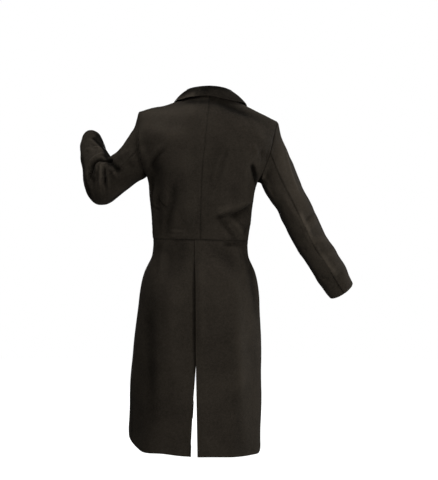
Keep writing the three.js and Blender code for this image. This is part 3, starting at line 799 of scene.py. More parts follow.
# the left sleeve: deep creases in the crook of the arm, and the cloth bunched beside them, with painted
# shade down the inner forearm, in the crook and along the outline
folds["behind", "sleeve_left"] = [
    Fold(9, -6, (-394, -129), (-377, -143), (-360, -163), (-348, -184), (-337, -207), shade=1.5, fade=0.12),
    Fold(13, -0.5, (-381, -119), (-362, -139), (-348, -163), (-338, -184), (-330, -204), shade=6, fade=0.1),
    Fold(6, 4, (-415, -136), (-391, -150), (-374, -170), (-357, -197), bite=-0.5),
    Fold(4.5, -3.5, (-401, -156), (-384, -160), (-367, -170)),
    Fold(4.5, 3, (-391, -170), (-374, -170), (-354, -187), bite=-0.7),
    Fold(9, 4, (-422, -180), (-401, -173), (-381, -190)),
    Fold(6.5, -15, (-326, -214), (-343, -208), (-364, -207), (-384, -214), shade=1.5, fade=0.12),
    Fold(6.5, -13, (-354, -201), (-374, -207), (-388, -218), (-398, -235), (-405, -258), (-408, -296),
         fade=0.2),
    Fold(6, 6, (-333, -194), (-357, -189), (-381, -197), (-401, -218), (-411, -248)),
    Fold(6, 9, (-347, -214), (-359, -228), (-364, -248), (-366, -282), (-360, -350), shade=0.2),
    Fold(5, -9, (-350, -224), (-354, -255), (-352, -282), (-347, -323)),
    Fold(5, 3, (-343, -235), (-340, -275), (-337, -316)),
    Fold(4, -5, (-374, -218), (-377, -248), (-377, -296)),
    Fold(4, 4, (-367, -211), (-377, -231), (-377, -258)),
    Fold(11, -6, (-394, -201), (-394, -238), (-393, -275), (-384, -330), shade=0.5),
    Fold(10, -3, (-350, -214), (-330, -221), (-316, -231), (-292, -255), shade=1, fade=0.2),
    Fold(7, 3.5, (-337, -228), (-323, -248), (-306, -275)),
    Fold(6, 3.5, (-306, -207), (-289, -190), (-269, -173), bite=-0.7),
    Fold(5, -2, (-245, -150), (-240, -173), (-231, -201), bite=0.7),
    Fold(8, 3, (-340, -343), (-313, -316), (-286, -296), bite=-0.6),
    Fold(12, -3, (-279, -207), (-258, -235), (-231, -248)),
    Fold(8, -0.5, (-354, -364), (-320, -340), (-272, -306), (-197, -262), shade=0.7),
    Fold(9, -0.5, (-435, -146), (-425, -228), (-408, -303), (-384, -360), shade=1.1),
]
# the right sleeve: a sharp ridge down the arm, a pressed seam, and slack above the elbow and the cuff, with
# painted light over its outer face and on some ridges, and painted shade along its under edge
folds["behind", "sleeve_right"] = [
    Fold(4.5, 3.6, (235, -99), (253, -153), (272, -218), (292, -282), (320, -357), shade=0.3),
    Fold(30, 2, (204, -58), (255, -201), (286, -296), (340, -425), shade=0.5),
    Fold(7, -0.5, (170, -289), (231, -384), (282, -479), (333, -561), (394, -656), shade=0.9, fade=0.1),
    Fold(9, 3, (245, -309), (282, -374), (316, -435)),
    Fold(9, 4.5, (303, -371), (330, -432), (364, -510), shade=1),
    Fold(9, -4.5, (364, -381), (347, -398), (333, -422)),
    Fold(9, 4.5, (323, -452), (347, -435), (374, -415), bite=-0.6),
    Fold(7, 4.5, (347, -483), (377, -483), (418, -490), bite=-0.9),
    Fold(13, -4.5, (374, -517), (394, -507), (422, -500)),
    Fold(10, 4, (374, -520), (405, -561), (445, -615), shade=0.7),
    Fold(9, 3.5, (388, -554), (408, -534), (435, -520)),
    Fold(10, -4, (428, -619), (445, -602), (462, -581)),
    Fold(9, 3, (415, -588), (435, -568), (459, -554)),
    Fold(8, 2, (173, -241), (187, -269), (204, -303), (231, -354), shade=1.2),
    Fold(6, 2.5, (184, -262), (201, -279), (214, -309)),
    Fold(8, -3, (299, -500), (320, -510), (340, -513)),
    Fold(8, -3, (374, -602), (394, -612), (415, -615)),
    Fold(7, -0.5, (184, -296), (218, -354), (258, -425), (306, -507), (360, -588), (405, -653), shade=0.7,
         fade=0.15),
]
# the tails: the cloth eases out of the waist seam, and the upper tail stands off at its edge, with painted
# shade in the hollows and along the left tail's outer edge, and painted light on a ridge
folds["behind", "tail_left"] = [
    Fold(28, 6, (-54, -500), (-88, -588), (-119, -683), (-122, -836), (-109, -989), shade=0.15),
    Fold(20, -6, (-143, -486), (-136, -554), (-146, -636), shade=0.1),
    Fold(22, -2, (-102, -439), (-92, -554), (-102, -683), shade=0.35),
    Fold(26, -7, (-197, -649), (-201, -785), (-197, -955), (-173, -1295), shade=0.3),
    Fold(12, -4, (-163, -486), (-173, -534), (-177, -602)),
    Fold(7, 2.5, (-150, -513), (-163, -554), (-163, -602)),
    Fold(9, -4, (-44, -541), (-44, -683), (-44, -921)),
    Fold(8, -0.5, (-235, -649), (-253, -836), (-262, -1023), (-265, -1180), shade=0.8, fade=0.1),
]
folds["behind", "tail_right"] = [
    Fold(12, 5, (-27, -513), (-24, -683), (-20, -901)),
    Fold(22, 5, (-10, -520), (41, -581), (95, -656), (99, -819)),
    Fold(18, -6, (34, -493), (68, -534), (109, -581)),
    Fold(34, -2, (-7, -466), (48, -534), (95, -629), shade=0.3),
    Fold(24, 7, (99, -683), (105, -853), (116, -1057)),
    Fold(9, -9, (41, -491), (82, -493), (129, -491), shade=0.2),
    Fold(6, -4, (112, -500), (114, -547), (116, -602)),
    Fold(6, 3.5, (126, -500), (133, -541), (143, -588)),
    Fold(6, -4, (143, -554), (153, -588), (163, -622)),
    Fold(20, -6, (109, -439), (129, -534), (146, -602), (160, -683), (170, -806), shade=0.5),
    Fold(26, -4, (95, -972), (102, -1108), (109, -1295), shade=0.3),
    Fold(7, 2.5, (7, -490), (31, -500), (61, -520), bite=-0.5),
    Fold(40, -3.5, (34, -751), (41, -921), (54, -1125)),
]
# the hidden front: lines that the button draws, and slack at the armpits and in the sleeves
folds["before", "front_left"] = [
    Fold(8, 4, (-52, -424), (-100, -404), (-150, -380), bite=0.6),
    Fold(8, -4, (-54, -440), (-98, -440), (-146, -452)),
    Fold(10, 5, (-206, -246), (-176, -214), (-158, -168), bite=0.7),
    Fold(12, -5, (-192, -262), (-162, -232), (-140, -190)),
    Fold(14, -4, (-150, -300), (-146, -360), (-132, -430)),
]
folds["before", "front_right"] = [
    Fold(8, 4, (26, -424), (68, -402), (112, -372), bite=-0.6),
    Fold(8, -4, (28, -442), (66, -444), (106, -458)),
    Fold(10, 5, (158, -256), (140, -216), (134, -170), bite=-0.7),
    Fold(12, -5, (146, -266), (124, -232), (116, -190)),
    Fold(14, -4, (112, -300), (108, -370), (98, -430)),
]
folds["before", "sleeve_right"] = [
    Fold(10, -7, (280, -400), (306, -398), (336, -380), bite=0.5),
    Fold(9, 5, (290, -428), (318, -422), (350, -402)),
    Fold(8, -5, (306, -452), (330, -446), (360, -428)),
    Fold(10, -5, (340, -520), (372, -508), (402, -486)),
    Fold(9, 4, (352, -548), (384, -536), (414, -514)),
    Fold(9, -4, (236, -190), (230, -230), (238, -280)),
]
folds["before", "sleeve_left"] = [
    Fold(7, -10, (-340, -208), (-362, -216), (-384, -240), (-398, -276), bite=0.5),
    Fold(8, 6, (-344, -232), (-356, -262), (-362, -310)),
    Fold(6, -5, (-330, -226), (-340, -262), (-346, -304)),
    Fold(9, -5, (-300, -206), (-286, -238), (-272, -264)),
]
folds["before", "tail_left"] = [
    Fold(26, -6, (-196, -560), (-204, -760), (-212, -1040)),
]
folds["before", "tail_right"] = [
    Fold(26, -6, (150, -560), (150, -760), (152, -1040)),
]
foldShape = {
    "facing": 0.05,  # a fold runs over cloth that faces the view by this or more
    "steps": 40,  # between two places of its run
    "reach": 3.2,  # its breadth times this is as far as it goes
    "biteOff": 1.5,  # the bite's middle and its width, in breadths
    "biteBroad": 0.8,
    "faint": 0.06,  # what is left of it at its very ends
    "settle": 9,  # it settles this far in from a seam
    "sharp": 0.45,  # how much painted shade a steep trough, and painted light a steep ridge, gets by itself
}
seams = {
    "mateReach": 1.5,  # pieces this near to each other are sewn together
    "shareReach": 5,  # and share the direction of points this near,
    "lean": 6,  # which reaches this far in from the seam
}
# Slow unevenness of the cloth
ripples = (
    # part of the name, length, rise, seed
    ("back", 90, 0.8, 11),
    ("front", 90, 0.8, 11),
    ("tail", 150, 1.3, 11),
    ("sleeve", 70, 1.1, 11),
    ("collar", 80, 0.5, 11),
    ("back", 30, 0.24, 12),
    ("front", 30, 0.2, 12),
    ("tail", 44, 0.2, 12),
    ("sleeve", 26, 0.26, 12),
)
pucker = {"length": 11, "rise": 0.35, "reach": 9, "seed": 5}  # along each seam
borders = {"near": (slice(None), 0), "far": (slice(None), -1), "low": (0,), "high": (-1,)}
farOff = 1e3


def overGrid(values, edge):
    # one value for each point of an edge, shaped to run on across the grid from there
    return values[:, None] if edge in ("near", "far") else values[None]


def kindAt(piece, edge):
    count = len(piece["points"][borders[edge]])
    return overGrid(np.broadcast_to(np.asarray(piece["kinds"][edge], float), count), edge)


def gridNormals(points):
    return unit(np.cross(np.gradient(points, axis=1), np.gradient(points, axis=0)))


def edgeReach(points):
    # how far each point is from each edge, along the grid
    across, up = reachAlong(points, axis=1), reachAlong(points)
    return {"near": across, "far": across[:, -1:] - across, "low": up, "high": up[-1:] - up}


def placeTree(entries):
    # finds the entries near a place, where each entry starts with its own
    tree = kdtree.KDTree(len(entries))
    for number, entry in enumerate(entries):
        tree.insert(entry[0], number)
    tree.balance()
    return tree


def findMates():
    # the other piece that each sewn edge point is sewn to
    entries = [
        (point, name)
        for name, piece in pieces.items()
        for index in borders.values()
        for point in piece["points"][index]
    ]
    tree = placeTree(entries)
    for name, piece in pieces.items():
        piece["mates"] = {}
        for edge, index in borders.items():
            found = []
            for point in piece["points"][index]:
                near = [(gap, entries[i][1]) for _, i, gap in tree.find_range(point, seams["mateReach"])]
                found.append(min([mate for mate in near if mate[1] != name], default=(0, ""))[1])
            piece["mates"][edge] = np.array(found)


def shareSeamNormals():
    # pieces that are sewn together share one direction through the cloth at their seam
    entries = []
    for name, piece in pieces.items():
        for edge, index in borders.items():
            for at in np.flatnonzero(kindAt(piece, edge).ravel() > 0.5):
                entries.append((piece["points"][index][at], piece["normals"][index][at], name, edge, at))
    tree = placeTree(entries)
    shared = {}
    for point, normal, name, edge, at in entries:
        nearest = {}
        for _, number, gap in tree.find_range(point, seams["shareReach"]):
            _, direction, other = entries[number][:3]
            if other not in nearest or gap < nearest[other][0]:
                nearest[other] = (gap, direction)
        nearest[name] = (0, normal)
        shared[name, edge, at] = unit(sum(direction for _, direction in nearest.values()))
    for name, piece in pieces.items():
        leaned = piece["normals"].copy()
        for edge, distance in edgeReach(piece["points"]).items():
            count = len(piece["points"][borders[edge]])
            directions = np.array([shared.get((name, edge, at), (0, 0, 0)) for at in range(count)], float)
            directions = overGrid(directions, edge)
            weight = np.exp(-((distance / seams["lean"]) ** 2))[..., None]
            known = np.linalg.norm(directions, axis=-1, keepdims=True) > 0.5
            leaned = np.where(known, leaned * (1 - weight) + directions * weight, leaned)
        piece["normals"] = unit(leaned)


def seamReach(piece, members):
    # how far each point is from the seams that a fold stops short of: those that leave its members
    nearest = np.full(piece["points"].shape[:-1], farOff)
    for edge, distance in edgeReach(piece["points"]).items():
        stays = overGrid(np.isin(piece["mates"][edge], members), edge)
        nearest = np.minimum(nearest, distance + farOff * (1 - kindAt(piece, edge) * ~stays))
    return nearest


def seenFlat(points, view):
    # where points appear from behind or before, in the plane of the neck
    distance = studio["distance"] / mm
    eye = np.array([studio["aside"], studio["eyeLevel"]]) / mm
    depth = distance + points[..., 1] * (1 if view == "behind" else -1)
    return eye + (points[..., [0, 2]] - eye) * distance / depth[..., None]


def foldPath(fold, view, members):
    # the run of a fold on the cloth: the nearest points that face the view
    facing = -1 if view == "behind" else 1
    points = np.concatenate([piece["points"].reshape(-1, 3) for piece in members])
    through = np.concatenate([piece["normals"][..., 1].ravel() * piece["seenSide"] for piece in members])
    points = points[through * facing > foldShape["facing"]]
    flat = seenFlat(points, view)
    found = []
    for place in fold.run:
        nearest = np.argmin(np.linalg.norm(flat - place, axis=1))
        miss = place - flat[nearest]
        found.append(points[nearest] + [miss[0], 0, miss[1]])
    last = len(found) - 1
    numbers = np.linspace(0, last, foldShape["steps"] * last)
    return smoothThrough(np.arange(last + 1, dtype=float), np.array(found), numbers)


def foldRise(fold, path, points, normals):
    rise = np.zeros(points.shape[:-1])
    reach = foldShape["reach"] * fold.broad
    close = np.all((points > path.min(axis=0) - reach) & (points < path.max(axis=0) + reach), axis=-1)
    at, through = points[close], normals[close]
    if not len(at):
        return rise
    gaps = np.linalg.norm(at[:, None] - path[None], axis=-1)
    nearest = gaps.argmin(axis=1)
    share = nearest / (len(path) - 1)
    onward = unit(np.gradient(path, axis=0))[nearest]
    sideways = np.sign((np.cross(through, onward) * (at - path[nearest])).sum(axis=-1))
    d = sideways * gaps.min(axis=1) / fold.broad
    shape = np.exp(-d * d)
    shape -= fold.bite * np.exp(-(((d - foldShape["biteOff"]) / foldShape["biteBroad"]) ** 2))
    fade = smoothStep(share, 0, fold.fade) * smoothStep(1 - share, 0, fold.fade)
    rise[close] = fold.rise * shape * np.maximum(fade, foldShape["faint"])
    return rise


def layFold(fold, view, members):
    path = foldPath(fold, view, [pieces[name] for name in members])
    for piece in [pieces[name] for name in members]:
        rise = foldRise(fold, path, piece["points"], piece["normals"])
        if rise.any():
            # paint shade into the colour of a trough and light onto a ridge, by the fold's shade here and
            # by its steepness below
            piece["tone"] += rise * fold.shade / abs(fold.rise)
            rise *= smoothStep(seamReach(piece, members), 0, foldShape["settle"])
            piece["rise"] += rise
            piece["tone"] += rise / fold.broad * foldShape["sharp"]


def waves(points, length, seed, count=9, shortest=0.7, longest=1.5):
    # smooth unevenness about -1 to 1, the sum of so many waves that are about so long
    draw = np.random.default_rng(seed)
    directions = unit(draw.normal(size=(count, 3)))
    phases = draw.uniform(0, 2 * np.pi, count)
    stretches = draw.uniform(shortest, longest, count)
    total = np.zeros(points.shape[:-1])
    for direction, phase, stretch in zip(directions, phases, stretches):
        total += np.sin(points @ direction * 2 * np.pi / (length * stretch) + phase)
    return total / np.sqrt(count)


def unevenness(name, piece):
    uneven = np.zeros(piece["toSeam"].shape)
    for kind, length, rise, seed in ripples:
        if kind in name:
            uneven += rise * waves(piece["points"], length, seed)
    puckered = np.exp(-(((piece["toSeam"] - pucker["reach"] / 2) / pucker["reach"]) ** 2))
    uneven += pucker["rise"] * puckered * waves(piece["points"], pucker["length"], pucker["seed"])
    return uneven * smoothStep(piece["toSeam"], 0, foldShape["settle"])


def layFolds():
    for piece in pieces.values():
        piece["normals"] = gridNormals(piece["points"])
        piece["rise"] = np.zeros(piece["points"].shape[:-1])
        piece["tone"] = np.zeros(piece["points"].shape[:-1])
    findMates()
    shareSeamNormals()
    for (view, ending), group in folds.items():
        members = [name for name in pieces if name.endswith(ending)]
        for fold in group:
            layFold(fold, view, members)
    for name, piece in pieces.items():
        piece["toSeam"] = seamReach(piece, [])
        piece["rise"] += unevenness(name, piece)
        piece["points"] = piece["points"] + piece["normals"] * piece["rise"][..., None]
        piece["normals"] = gridNormals(piece["points"])
    shareSeamNormals()


layFolds()
print("folds are laid")


# The wall of each piece, its turned-in seams and its rounded edges
wall = {
    "seamWidth": 3.4,
    "seamDepth": 1.1,
    "seamTone": 2.6,  # how far from a seam the cloth is darker,
    "rimTone": 3,  # and from a free edge paler, with wear and a painted sheen
    "rimRound": 0.46,  # of the cloth's thickness, on either side of a free edge
    "press": 0.3,  # the turnings under a seam lift the cloth beside it
    "pressFrom": 3,
    "pressTo": 11,
    "pressEase": 1,
    "turning": 4,  # the under piece reaches this far behind the waist seam
    "tuck": 1.1,
    "toneMost": 1.2,
}
# The rows at the waist seam of the pieces that lie under it there, and the rows beside them
underRows = {"back_right": (0, 1), "tail_left": (-1, -2)}
# The seams that show more or less plainly than the rest: part of a piece's name, its edges and how much
seamShows = (
    ("sleeve_left", "near far low high", 0.3),
    ("sleeve_right", "near far low high", 1.2),
    ("back_left", "far", 0.6),  # the centre back seam
    ("back_right", "near", 0.6),
)


def seamShow(name, edge):
    return next((share for part, edges, share in seamShows if part in name and edge in edges), 1)


def roundOver(reach, width):
    return 1 - np.sqrt(1 - (1 - np.clip(reach / width, 0, 1)) ** 2)


def wallFaces(rows, columns):
    # the given side, the other side and the rim that joins them
    at = np.arange(rows * columns).reshape(rows, columns)
    hidden = at + rows * columns
    border = np.concatenate([at[0, :-1], at[:-1, -1], at[-1, :0:-1], at[:0:-1, 0]])
    back = border + rows * columns
    given = [at[:-1, :-1], at[:-1, 1:], at[1:, 1:], at[1:, :-1]]
    other = [hidden[:-1, :-1], hidden[1:, :-1], hidden[1:, 1:], hidden[:-1, 1:]]
    return np.concatenate([
        np.stack(given, axis=-1).reshape(-1, 4),
        np.stack(other, axis=-1).reshape(-1, 4),
        np.stack([border, back, np.roll(back, -1), np.roll(border, -1)], axis=-1),
    ])


def wallSides(name, piece, reach, thick):
    # the points of a wall's two sides, and where its seams and its free edges are
    points, normals, toSeam = piece["points"], piece["normals"], piece["toSeam"]
    sewnDrop, freeDrop, seam, rim = np.zeros((4, *toSeam.shape))
    for edge, distance in reach.items():
        free = 1 - kindAt(piece, edge)
        shown = kindAt(piece, edge) * seamShow(name, edge)
        sewnDrop = np.maximum(sewnDrop, shown * wall["seamDepth"] * roundOver(distance, wall["seamWidth"]))
        freeDrop = np.maximum(freeDrop, free * wall["rimRound"] * thick * roundOver(distance, thick / 2))
        seam = np.maximum(seam, shown * np.exp(-((distance / wall["seamTone"]) ** 2)))
        rim = np.maximum(rim, free * np.exp(-((distance / wall["rimTone"]) ** 2)))
    rising, falling = [
        smoothStep(toSeam, wall[limit] - wall["pressEase"], wall[limit] + wall["pressEase"])
        for limit in ("pressFrom", "pressTo")
    ]
    seenDrop = np.maximum(sewnDrop, freeDrop) - wall["press"] * rising * (1 - falling)
    givenDrop, otherDrop = (seenDrop, freeDrop) if piece["seenSide"] > 0 else (freeDrop, seenDrop)
    given = points - normals * givenDrop[..., None]
    other = points - normals * (thick - otherDrop)[..., None]
    if name in underRows:
        row, beside = underRows[name]
        onward = unit(points[row] - points[beside]) * wall["turning"] - normals[row] * wall["tuck"]
        given[row] += onward
        other[row] += onward
    return given, other, seam, rim


def makeWall(name, piece, thick):
    reach = edgeReach(piece["points"])
    given, other, seam, rim = wallSides(name, piece, reach, thick)
    vertices = np.concatenate([given.reshape(-1, 3), other.reshape(-1, 3)]) * mm
    mesh = bpy.data.meshes.new(name + "_cloth")
    mesh.from_pydata(vertices.tolist(), [], wallFaces(*seam.shape).tolist())
    mesh.polygons.foreach_set("use_smooth", np.ones(len(mesh.polygons), bool))
    flat = np.stack([reach["near"], reach["low"]], axis=-1).reshape(-1, 2) * mm
    corners = np.zeros(len(mesh.loops), np.int32)
    mesh.loops.foreach_get("vertex_index", corners)
    mesh.uv_layers.new(name="cloth").data.foreach_set("uv", flat[corners % seam.size].ravel())
    # the fold attribute: painted shade in creases and painted light on ridges, from the folds
    fold = np.clip(piece["tone"], -wall["toneMost"], wall["toneMost"])
    for label, values in (("seam", seam), ("rim", rim), ("fold", fold)):
        attribute = mesh.attributes.new(label, "FLOAT", "POINT")
        attribute.data.foreach_set("value", np.tile(values.ravel(), 2).astype(np.float32))
    mesh.update()
    made = bpy.data.objects.new(mesh.name, mesh)
    scene.collection.objects.link(made)
    return made


clothPieces = {name: makeWall(name, piece, body["clothThick"]) for name, piece in pieces.items()}
print(f"walls: {len(clothPieces)} pieces of cloth")


class Wire:
    # a shader socket that takes part in Python sums
    def __init__(self, tree, socket=None):
        self.tree = tree
        self.socket = socket

    def node(self, kind, settings=None, inputs=None, output=0):
        made = self.tree.nodes.new(kind)
        for name, value in (settings or {}).items():
            setattr(made, name, value)
        for name, value in (inputs or {}).items():
            if isinstance(value, Wire):
                self.tree.links.new(value.socket, made.inputs[name])
            else:
                made.inputs[name].default_value = value
        return Wire(self.tree, made.outputs[output] if made.outputs else None)

    def noise(self, place, scale, detail):
        inputs = {"Vector": place, "Scale": scale, "Detail": detail}
        return self.node("ShaderNodeTexNoise", None, inputs, "Fac")

    def colour(self, share, dark, light):
        return self.node("ShaderNodeMix", {"data_type": "RGBA"}, {0: share, 6: dark, 7: light}, 2)

    def maths(self, operation, *others):
        return self.node("ShaderNodeMath", {"operation": operation}, dict(enumerate((self, *others))))

    def clamped(self, low=0.0, high=1.0):
        return self.maths("MAXIMUM", low).maths("MINIMUM", high)

    def __add__(self, other):
        return self.maths("ADD", other)

    def __mul__(self, other):
        return self.maths("MULTIPLY", other)

    def __sub__(self, other):
        return self.maths("SUBTRACT", other)

    def __rsub__(self, other):
        return self.node("ShaderNodeMath", {"operation": "SUBTRACT"}, {0: other, 1: self})

    __radd__ = __add__
    __rmul__ = __mul__


def newMaterial(name):
    # a material, the wire that its nodes are made with, and the place on the object
    material = bpy.data.materials.new(name)
    material.use_nodes = True
    material.node_tree.nodes.clear()
    wire = Wire(material.node_tree)
    return material, wire, wire.node("ShaderNodeTexCoord", output="Object")


def finishMaterial(wire, inputs):
    shader = wire.node("ShaderNodeBsdfPrincipled", None, inputs)
    wire.node("ShaderNodeOutputMaterial", None, {"Surface": shader})


suiting = {
    "dark": (0.0010, 0.0008, 0.0006, 1),
    "light": (0.0770, 0.0638, 0.0492, 1),
    "tone": 0.50,
    # the collar's copy of the twill is darker and less shiny: painted shade, where the wearer's head shades
    # it
    "collarShadeTone": 0.15,
    "collarShadeSpecular": 0.03,
    "paintedRidgeLight": 0.5,  # painted light on the ridges of the folds, by this
    "shaded": 0.42,  # and painted shade in their creases
    "rimTone": 0.14,  # free edges are paler, with wear and a painted sheen,
    "rimSmooth": 0.06,  # and smoother
    "seamTone": 0.28,  # seams are darker
    "twillPitch": 1.5 * mm,
    "twillSlope": 1.7,
    "twillTone": 0.07,
    "twillRelief": 0.5,
    "yarnsAcross": 2600.0,
    "yarnsUp": 420.0,
    "yarnTone": 0.34,
    "yarnRelief": 0.8,
    "slubScale": 320.0,
    "slubTone": 0.55,
    "slubRelief": 0.7,
    "slubRough": 0.16,
    "napScale": 130.0,
    "napTone": 0.35,
    "slowScale": 9.0,
    "slowTone": 0.5,
    "slowRough": 0.12,
    "relief": 0.22 * mm,
    "reliefStrength": 0.8,
    "roughness": 0.74,
    "smoothest": 0.3,
    "foldSmooth": 0.04,
    "sheen": 0.015,
    "sheenRoughness": 0.45,
    "sheenTint": (0.80, 0.74, 0.66, 1),
    "specular": 0.05,
    "specularTint": (1.0, 0.88, 0.70, 1),
}


def twillMaterial(name, shade, specular):
    # fine black twill: diagonal lines, uneven yarns, slow shading, painted light on fold ridges and painted
    # shade in creases, and free edges paler with wear and a painted sheen
    material, wire, place = newMaterial(name)
    cloth = wire.node("ShaderNodeUVMap", {"uv_map": "cloth"})
    across, up = [wire.node("ShaderNodeSeparateXYZ", None, {0: cloth}, axis) for axis in "XY"]
    seam, rim, fold = [
        wire.node("ShaderNodeAttribute", {"attribute_name": label}, output="Fac")
        for label in ("seam", "rim", "fold")
    ]
    turn = 2 * np.pi / suiting["twillPitch"]
    twill = (across * turn + up * (turn / suiting["twillSlope"])).maths("SINE")
    yarns = {"X": across * suiting["yarnsAcross"], "Y": up * suiting["yarnsUp"]}
    yarn = wire.noise(wire.node("ShaderNodeCombineXYZ", None, yarns), 1.0, 2.0)
    slub = wire.noise(place, suiting["slubScale"], 2.0)
    nap = wire.noise(place, suiting["napScale"], 3.0)
    slow = wire.noise(place, suiting["slowScale"], 3.0)
    tone = shade + (yarn - 0.5) * suiting["yarnTone"] + (slub - 0.5) * suiting["slubTone"]
    tone = tone + (nap - 0.5) * suiting["napTone"] + (slow - 0.5) * suiting["slowTone"]
    tone = tone + twill * suiting["twillTone"]
    # painted light on the ridges of the folds and painted shade in their creases
    tone = tone + fold.maths("MAXIMUM", 0.0) * suiting["paintedRidgeLight"]
    tone = tone + fold.maths("MINIMUM", 0.0) * suiting["shaded"]
    tone = tone + rim * suiting["rimTone"] - seam * suiting["seamTone"]
    relief = twill * suiting["twillRelief"] + yarn * suiting["yarnRelief"] + slub * suiting["slubRelief"]
    bump = {"Strength": suiting["reliefStrength"], "Distance": suiting["relief"], "Height": relief}
    roughness = suiting["roughness"] + (slub - 0.5) * suiting["slubRough"]
    roughness = roughness + (slow - 0.5) * suiting["slowRough"]
    roughness = roughness - rim * suiting["rimSmooth"] - fold * suiting["foldSmooth"]
    finishMaterial(wire, {
        "Base Color": wire.colour((tone * 0.5).clamped(), suiting["dark"], suiting["light"]),
        "Roughness": roughness.clamped(suiting["smoothest"]),
        "Specular IOR Level": specular,
        "Specular Tint": suiting["specularTint"],
        "Sheen Weight": suiting["sheen"],
        "Sheen Roughness": suiting["sheenRoughness"],
        "Sheen Tint": suiting["sheenTint"],
        "Normal": wire.node("ShaderNodeBump", None, bump),
    })
    return material


floorLook = {
    "dark": (0.30, 0.30, 0.30, 1),
    "light": (0.33, 0.33, 0.33, 1),
    "patchScale": 0.8,
    "roughness": 0.9,
    "specular": 0.2,
    "glow": 0.80,  # the eye sees it paler than the light that it throws back on the cloth,
    "farGlow": 0.18,  # and paler still far off
    "farFrom": 1.0,
    "farEase": 0.25,
}


def floorMaterial():
    material, wire, place = newMaterial("paleFloor")
    slow = wire.noise(place, floorLook["patchScale"], 2.0)
    away = wire.node("ShaderNodeVectorMath", {"operation": "LENGTH"}, {0: place}, "Value")
    far = ((away - floorLook["farFrom"]) * floorLook["farEase"]).clamped()
    glow = floorLook["glow"] + far * floorLook["farGlow"]
    seen = wire.node("ShaderNodeLightPath", output="Is Camera Ray") * glow
    finishMaterial(wire, {
        "Base Color": wire.colour(slow, floorLook["dark"], floorLook["light"]),
        "Roughness": floorLook["roughness"],
        "Specular IOR Level": floorLook["specular"],
        "Emission Color": wire.node("ShaderNodeCombineColor", None, {0: seen, 1: seen, 2: seen}),
        "Emission Strength": 1.0,
    })
    return material


blackTwill = twillMaterial("blackTwill", suiting["tone"], suiting["specular"])
# the collar gets the darker copy of the twill, as painted shade
shadedCollarTwill = twillMaterial("shadedCollarTwill", suiting["collarShadeTone"], suiting["collarShadeSpecular"])
floor.data.materials.append(floorMaterial())
for name, piece in clothPieces.items():
    piece.data.materials.append(shadedCollarTwill if name == "collar" else blackTwill)
print("materials: twill and floor")


buttonLook = {
    "height": -430,
    "corners": 48,
    "radius": 12 * mm,
    "thick": 3.4 * mm,
    "crown": 1.4 * mm,
    "crownRings": ((0.16, 0.5), (0.22, 0.28), (0.26, 0.16), (0.2, 0.06)),  # shares of radius and crown
    "backRing": 0.12,  # share of the radius
    "bevel": 0.5 * mm,
    "bevelAngle": 50,
    "gap": 0.3,  # between it and the cloth
    "dark": (0.006, 0.005, 0.004, 1),
    "light": (0.026, 0.023, 0.018, 1),
    "weaveScale": 900.0,
    "weaveTone": 0.6,
    "weaveRough": 0.2,
    "slowScale": 120.0,
    "slowTone": 0.4,
    "relief": 0.12 * mm,
    "reliefStrength": 0.7,
    "roughness": 0.42,
    "specular": 0.2,
}


def onFrontLeft(wide, height, lift):
    # a place on the left front and the cloth's direction there
    spot = frontSpot(wide, height)
    return laid(-1, spot, frontLift(-1, spot) + lift) * mm, outward(-1, spot)


def placing(place, face, along):
    # the matrix that stands a piece on the cloth: its Z along face, its X along along
    z = Vector(face).normalized()
    y = z.cross(Vector(along)).normalized()
    x = y.cross(z)
    return Matrix.Translation(Vector(place)) @ Matrix((x, y, z)).transposed().to_4x4()


def roundBar(**size):
    # a cylinder, with its place and turn in its mesh, opened for edits
    bpy.ops.object.select_all(action="DESELECT")
    bpy.ops.mesh.primitive_cylinder_add(**size)
    bpy.ops.object.transform_apply(location=True, rotation=True)
    bpy.ops.object.mode_set(mode="EDIT")
    bpy.ops.mesh.select_mode(type="FACE")
    bpy.ops.mesh.select_all(action="DESELECT")
    return bpy.context.object


def pickFaces(obj, *ways, square=0.9):
    # the faces that look one of these ways, squarely enough
    bpy.ops.object.mode_set(mode="OBJECT")
    for face in obj.data.polygons:
        face.select = any(face.normal.dot(Vector(way)) > square for way in ways)
    bpy.ops.object.mode_set(mode="EDIT")


def buttonMaterial():
    material, wire, place = newMaterial("buttonCloth")
    weave = wire.noise(place, buttonLook["weaveScale"], 2.0)
    slow = wire.noise(place, buttonLook["slowScale"], 2.0)
    tone = (weave * buttonLook["weaveTone"] + slow * buttonLook["slowTone"]).clamped()
    bump = {"Strength": buttonLook["reliefStrength"], "Distance": buttonLook["relief"], "Height": weave}
    finishMaterial(wire, {
        "Base Color": wire.colour(tone, buttonLook["dark"], buttonLook["light"]),
        "Roughness": (buttonLook["roughness"] + weave * buttonLook["weaveRough"]).clamped(),
        "Specular IOR Level": buttonLook["specular"],
        "Normal": wire.node("ShaderNodeBump", None, bump),
    })
    return material


def makeButton():
    thick, radius = buttonLook["thick"], buttonLook["radius"]
    corners = buttonLook["corners"]
    button = roundBar(vertices=corners, radius=radius, depth=thick, location=(0, 0, thick / 2))
    button.name = "button_covered"
    pickFaces(button, (0, 0, 1))
    for share, rise in buttonLook["crownRings"]:
        bpy.ops.mesh.inset(thickness=radius * share)
        bpy.ops.transform.translate(value=(0, 0, buttonLook["crown"] * rise))
    pickFaces(button, (0, 0, -1))
    bpy.ops.mesh.inset(thickness=radius * buttonLook["backRing"])
    bpy.ops.object.mode_set(mode="OBJECT")
    bevel = button.modifiers.new("roundedRim", "BEVEL")
    bevel.width = buttonLook["bevel"]
    bevel.segments = 3
    bevel.limit_method = "ANGLE"
    bevel.angle_limit = np.radians(buttonLook["bevelAngle"])
    smooth = button.modifiers.new("smooth", "SUBSURF")
    smooth.levels = smooth.render_levels = 1
    bpy.ops.object.modifier_apply(modifier="roundedRim")
    bpy.ops.object.modifier_apply(modifier="smooth")
    bpy.ops.object.shade_smooth()
    place, face = onFrontLeft(0, buttonLook["height"], buttonLook["gap"])
    button.data.transform(placing(place, face, (0, 0, 1)))
    button.data.materials.append(buttonMaterial())
    return button


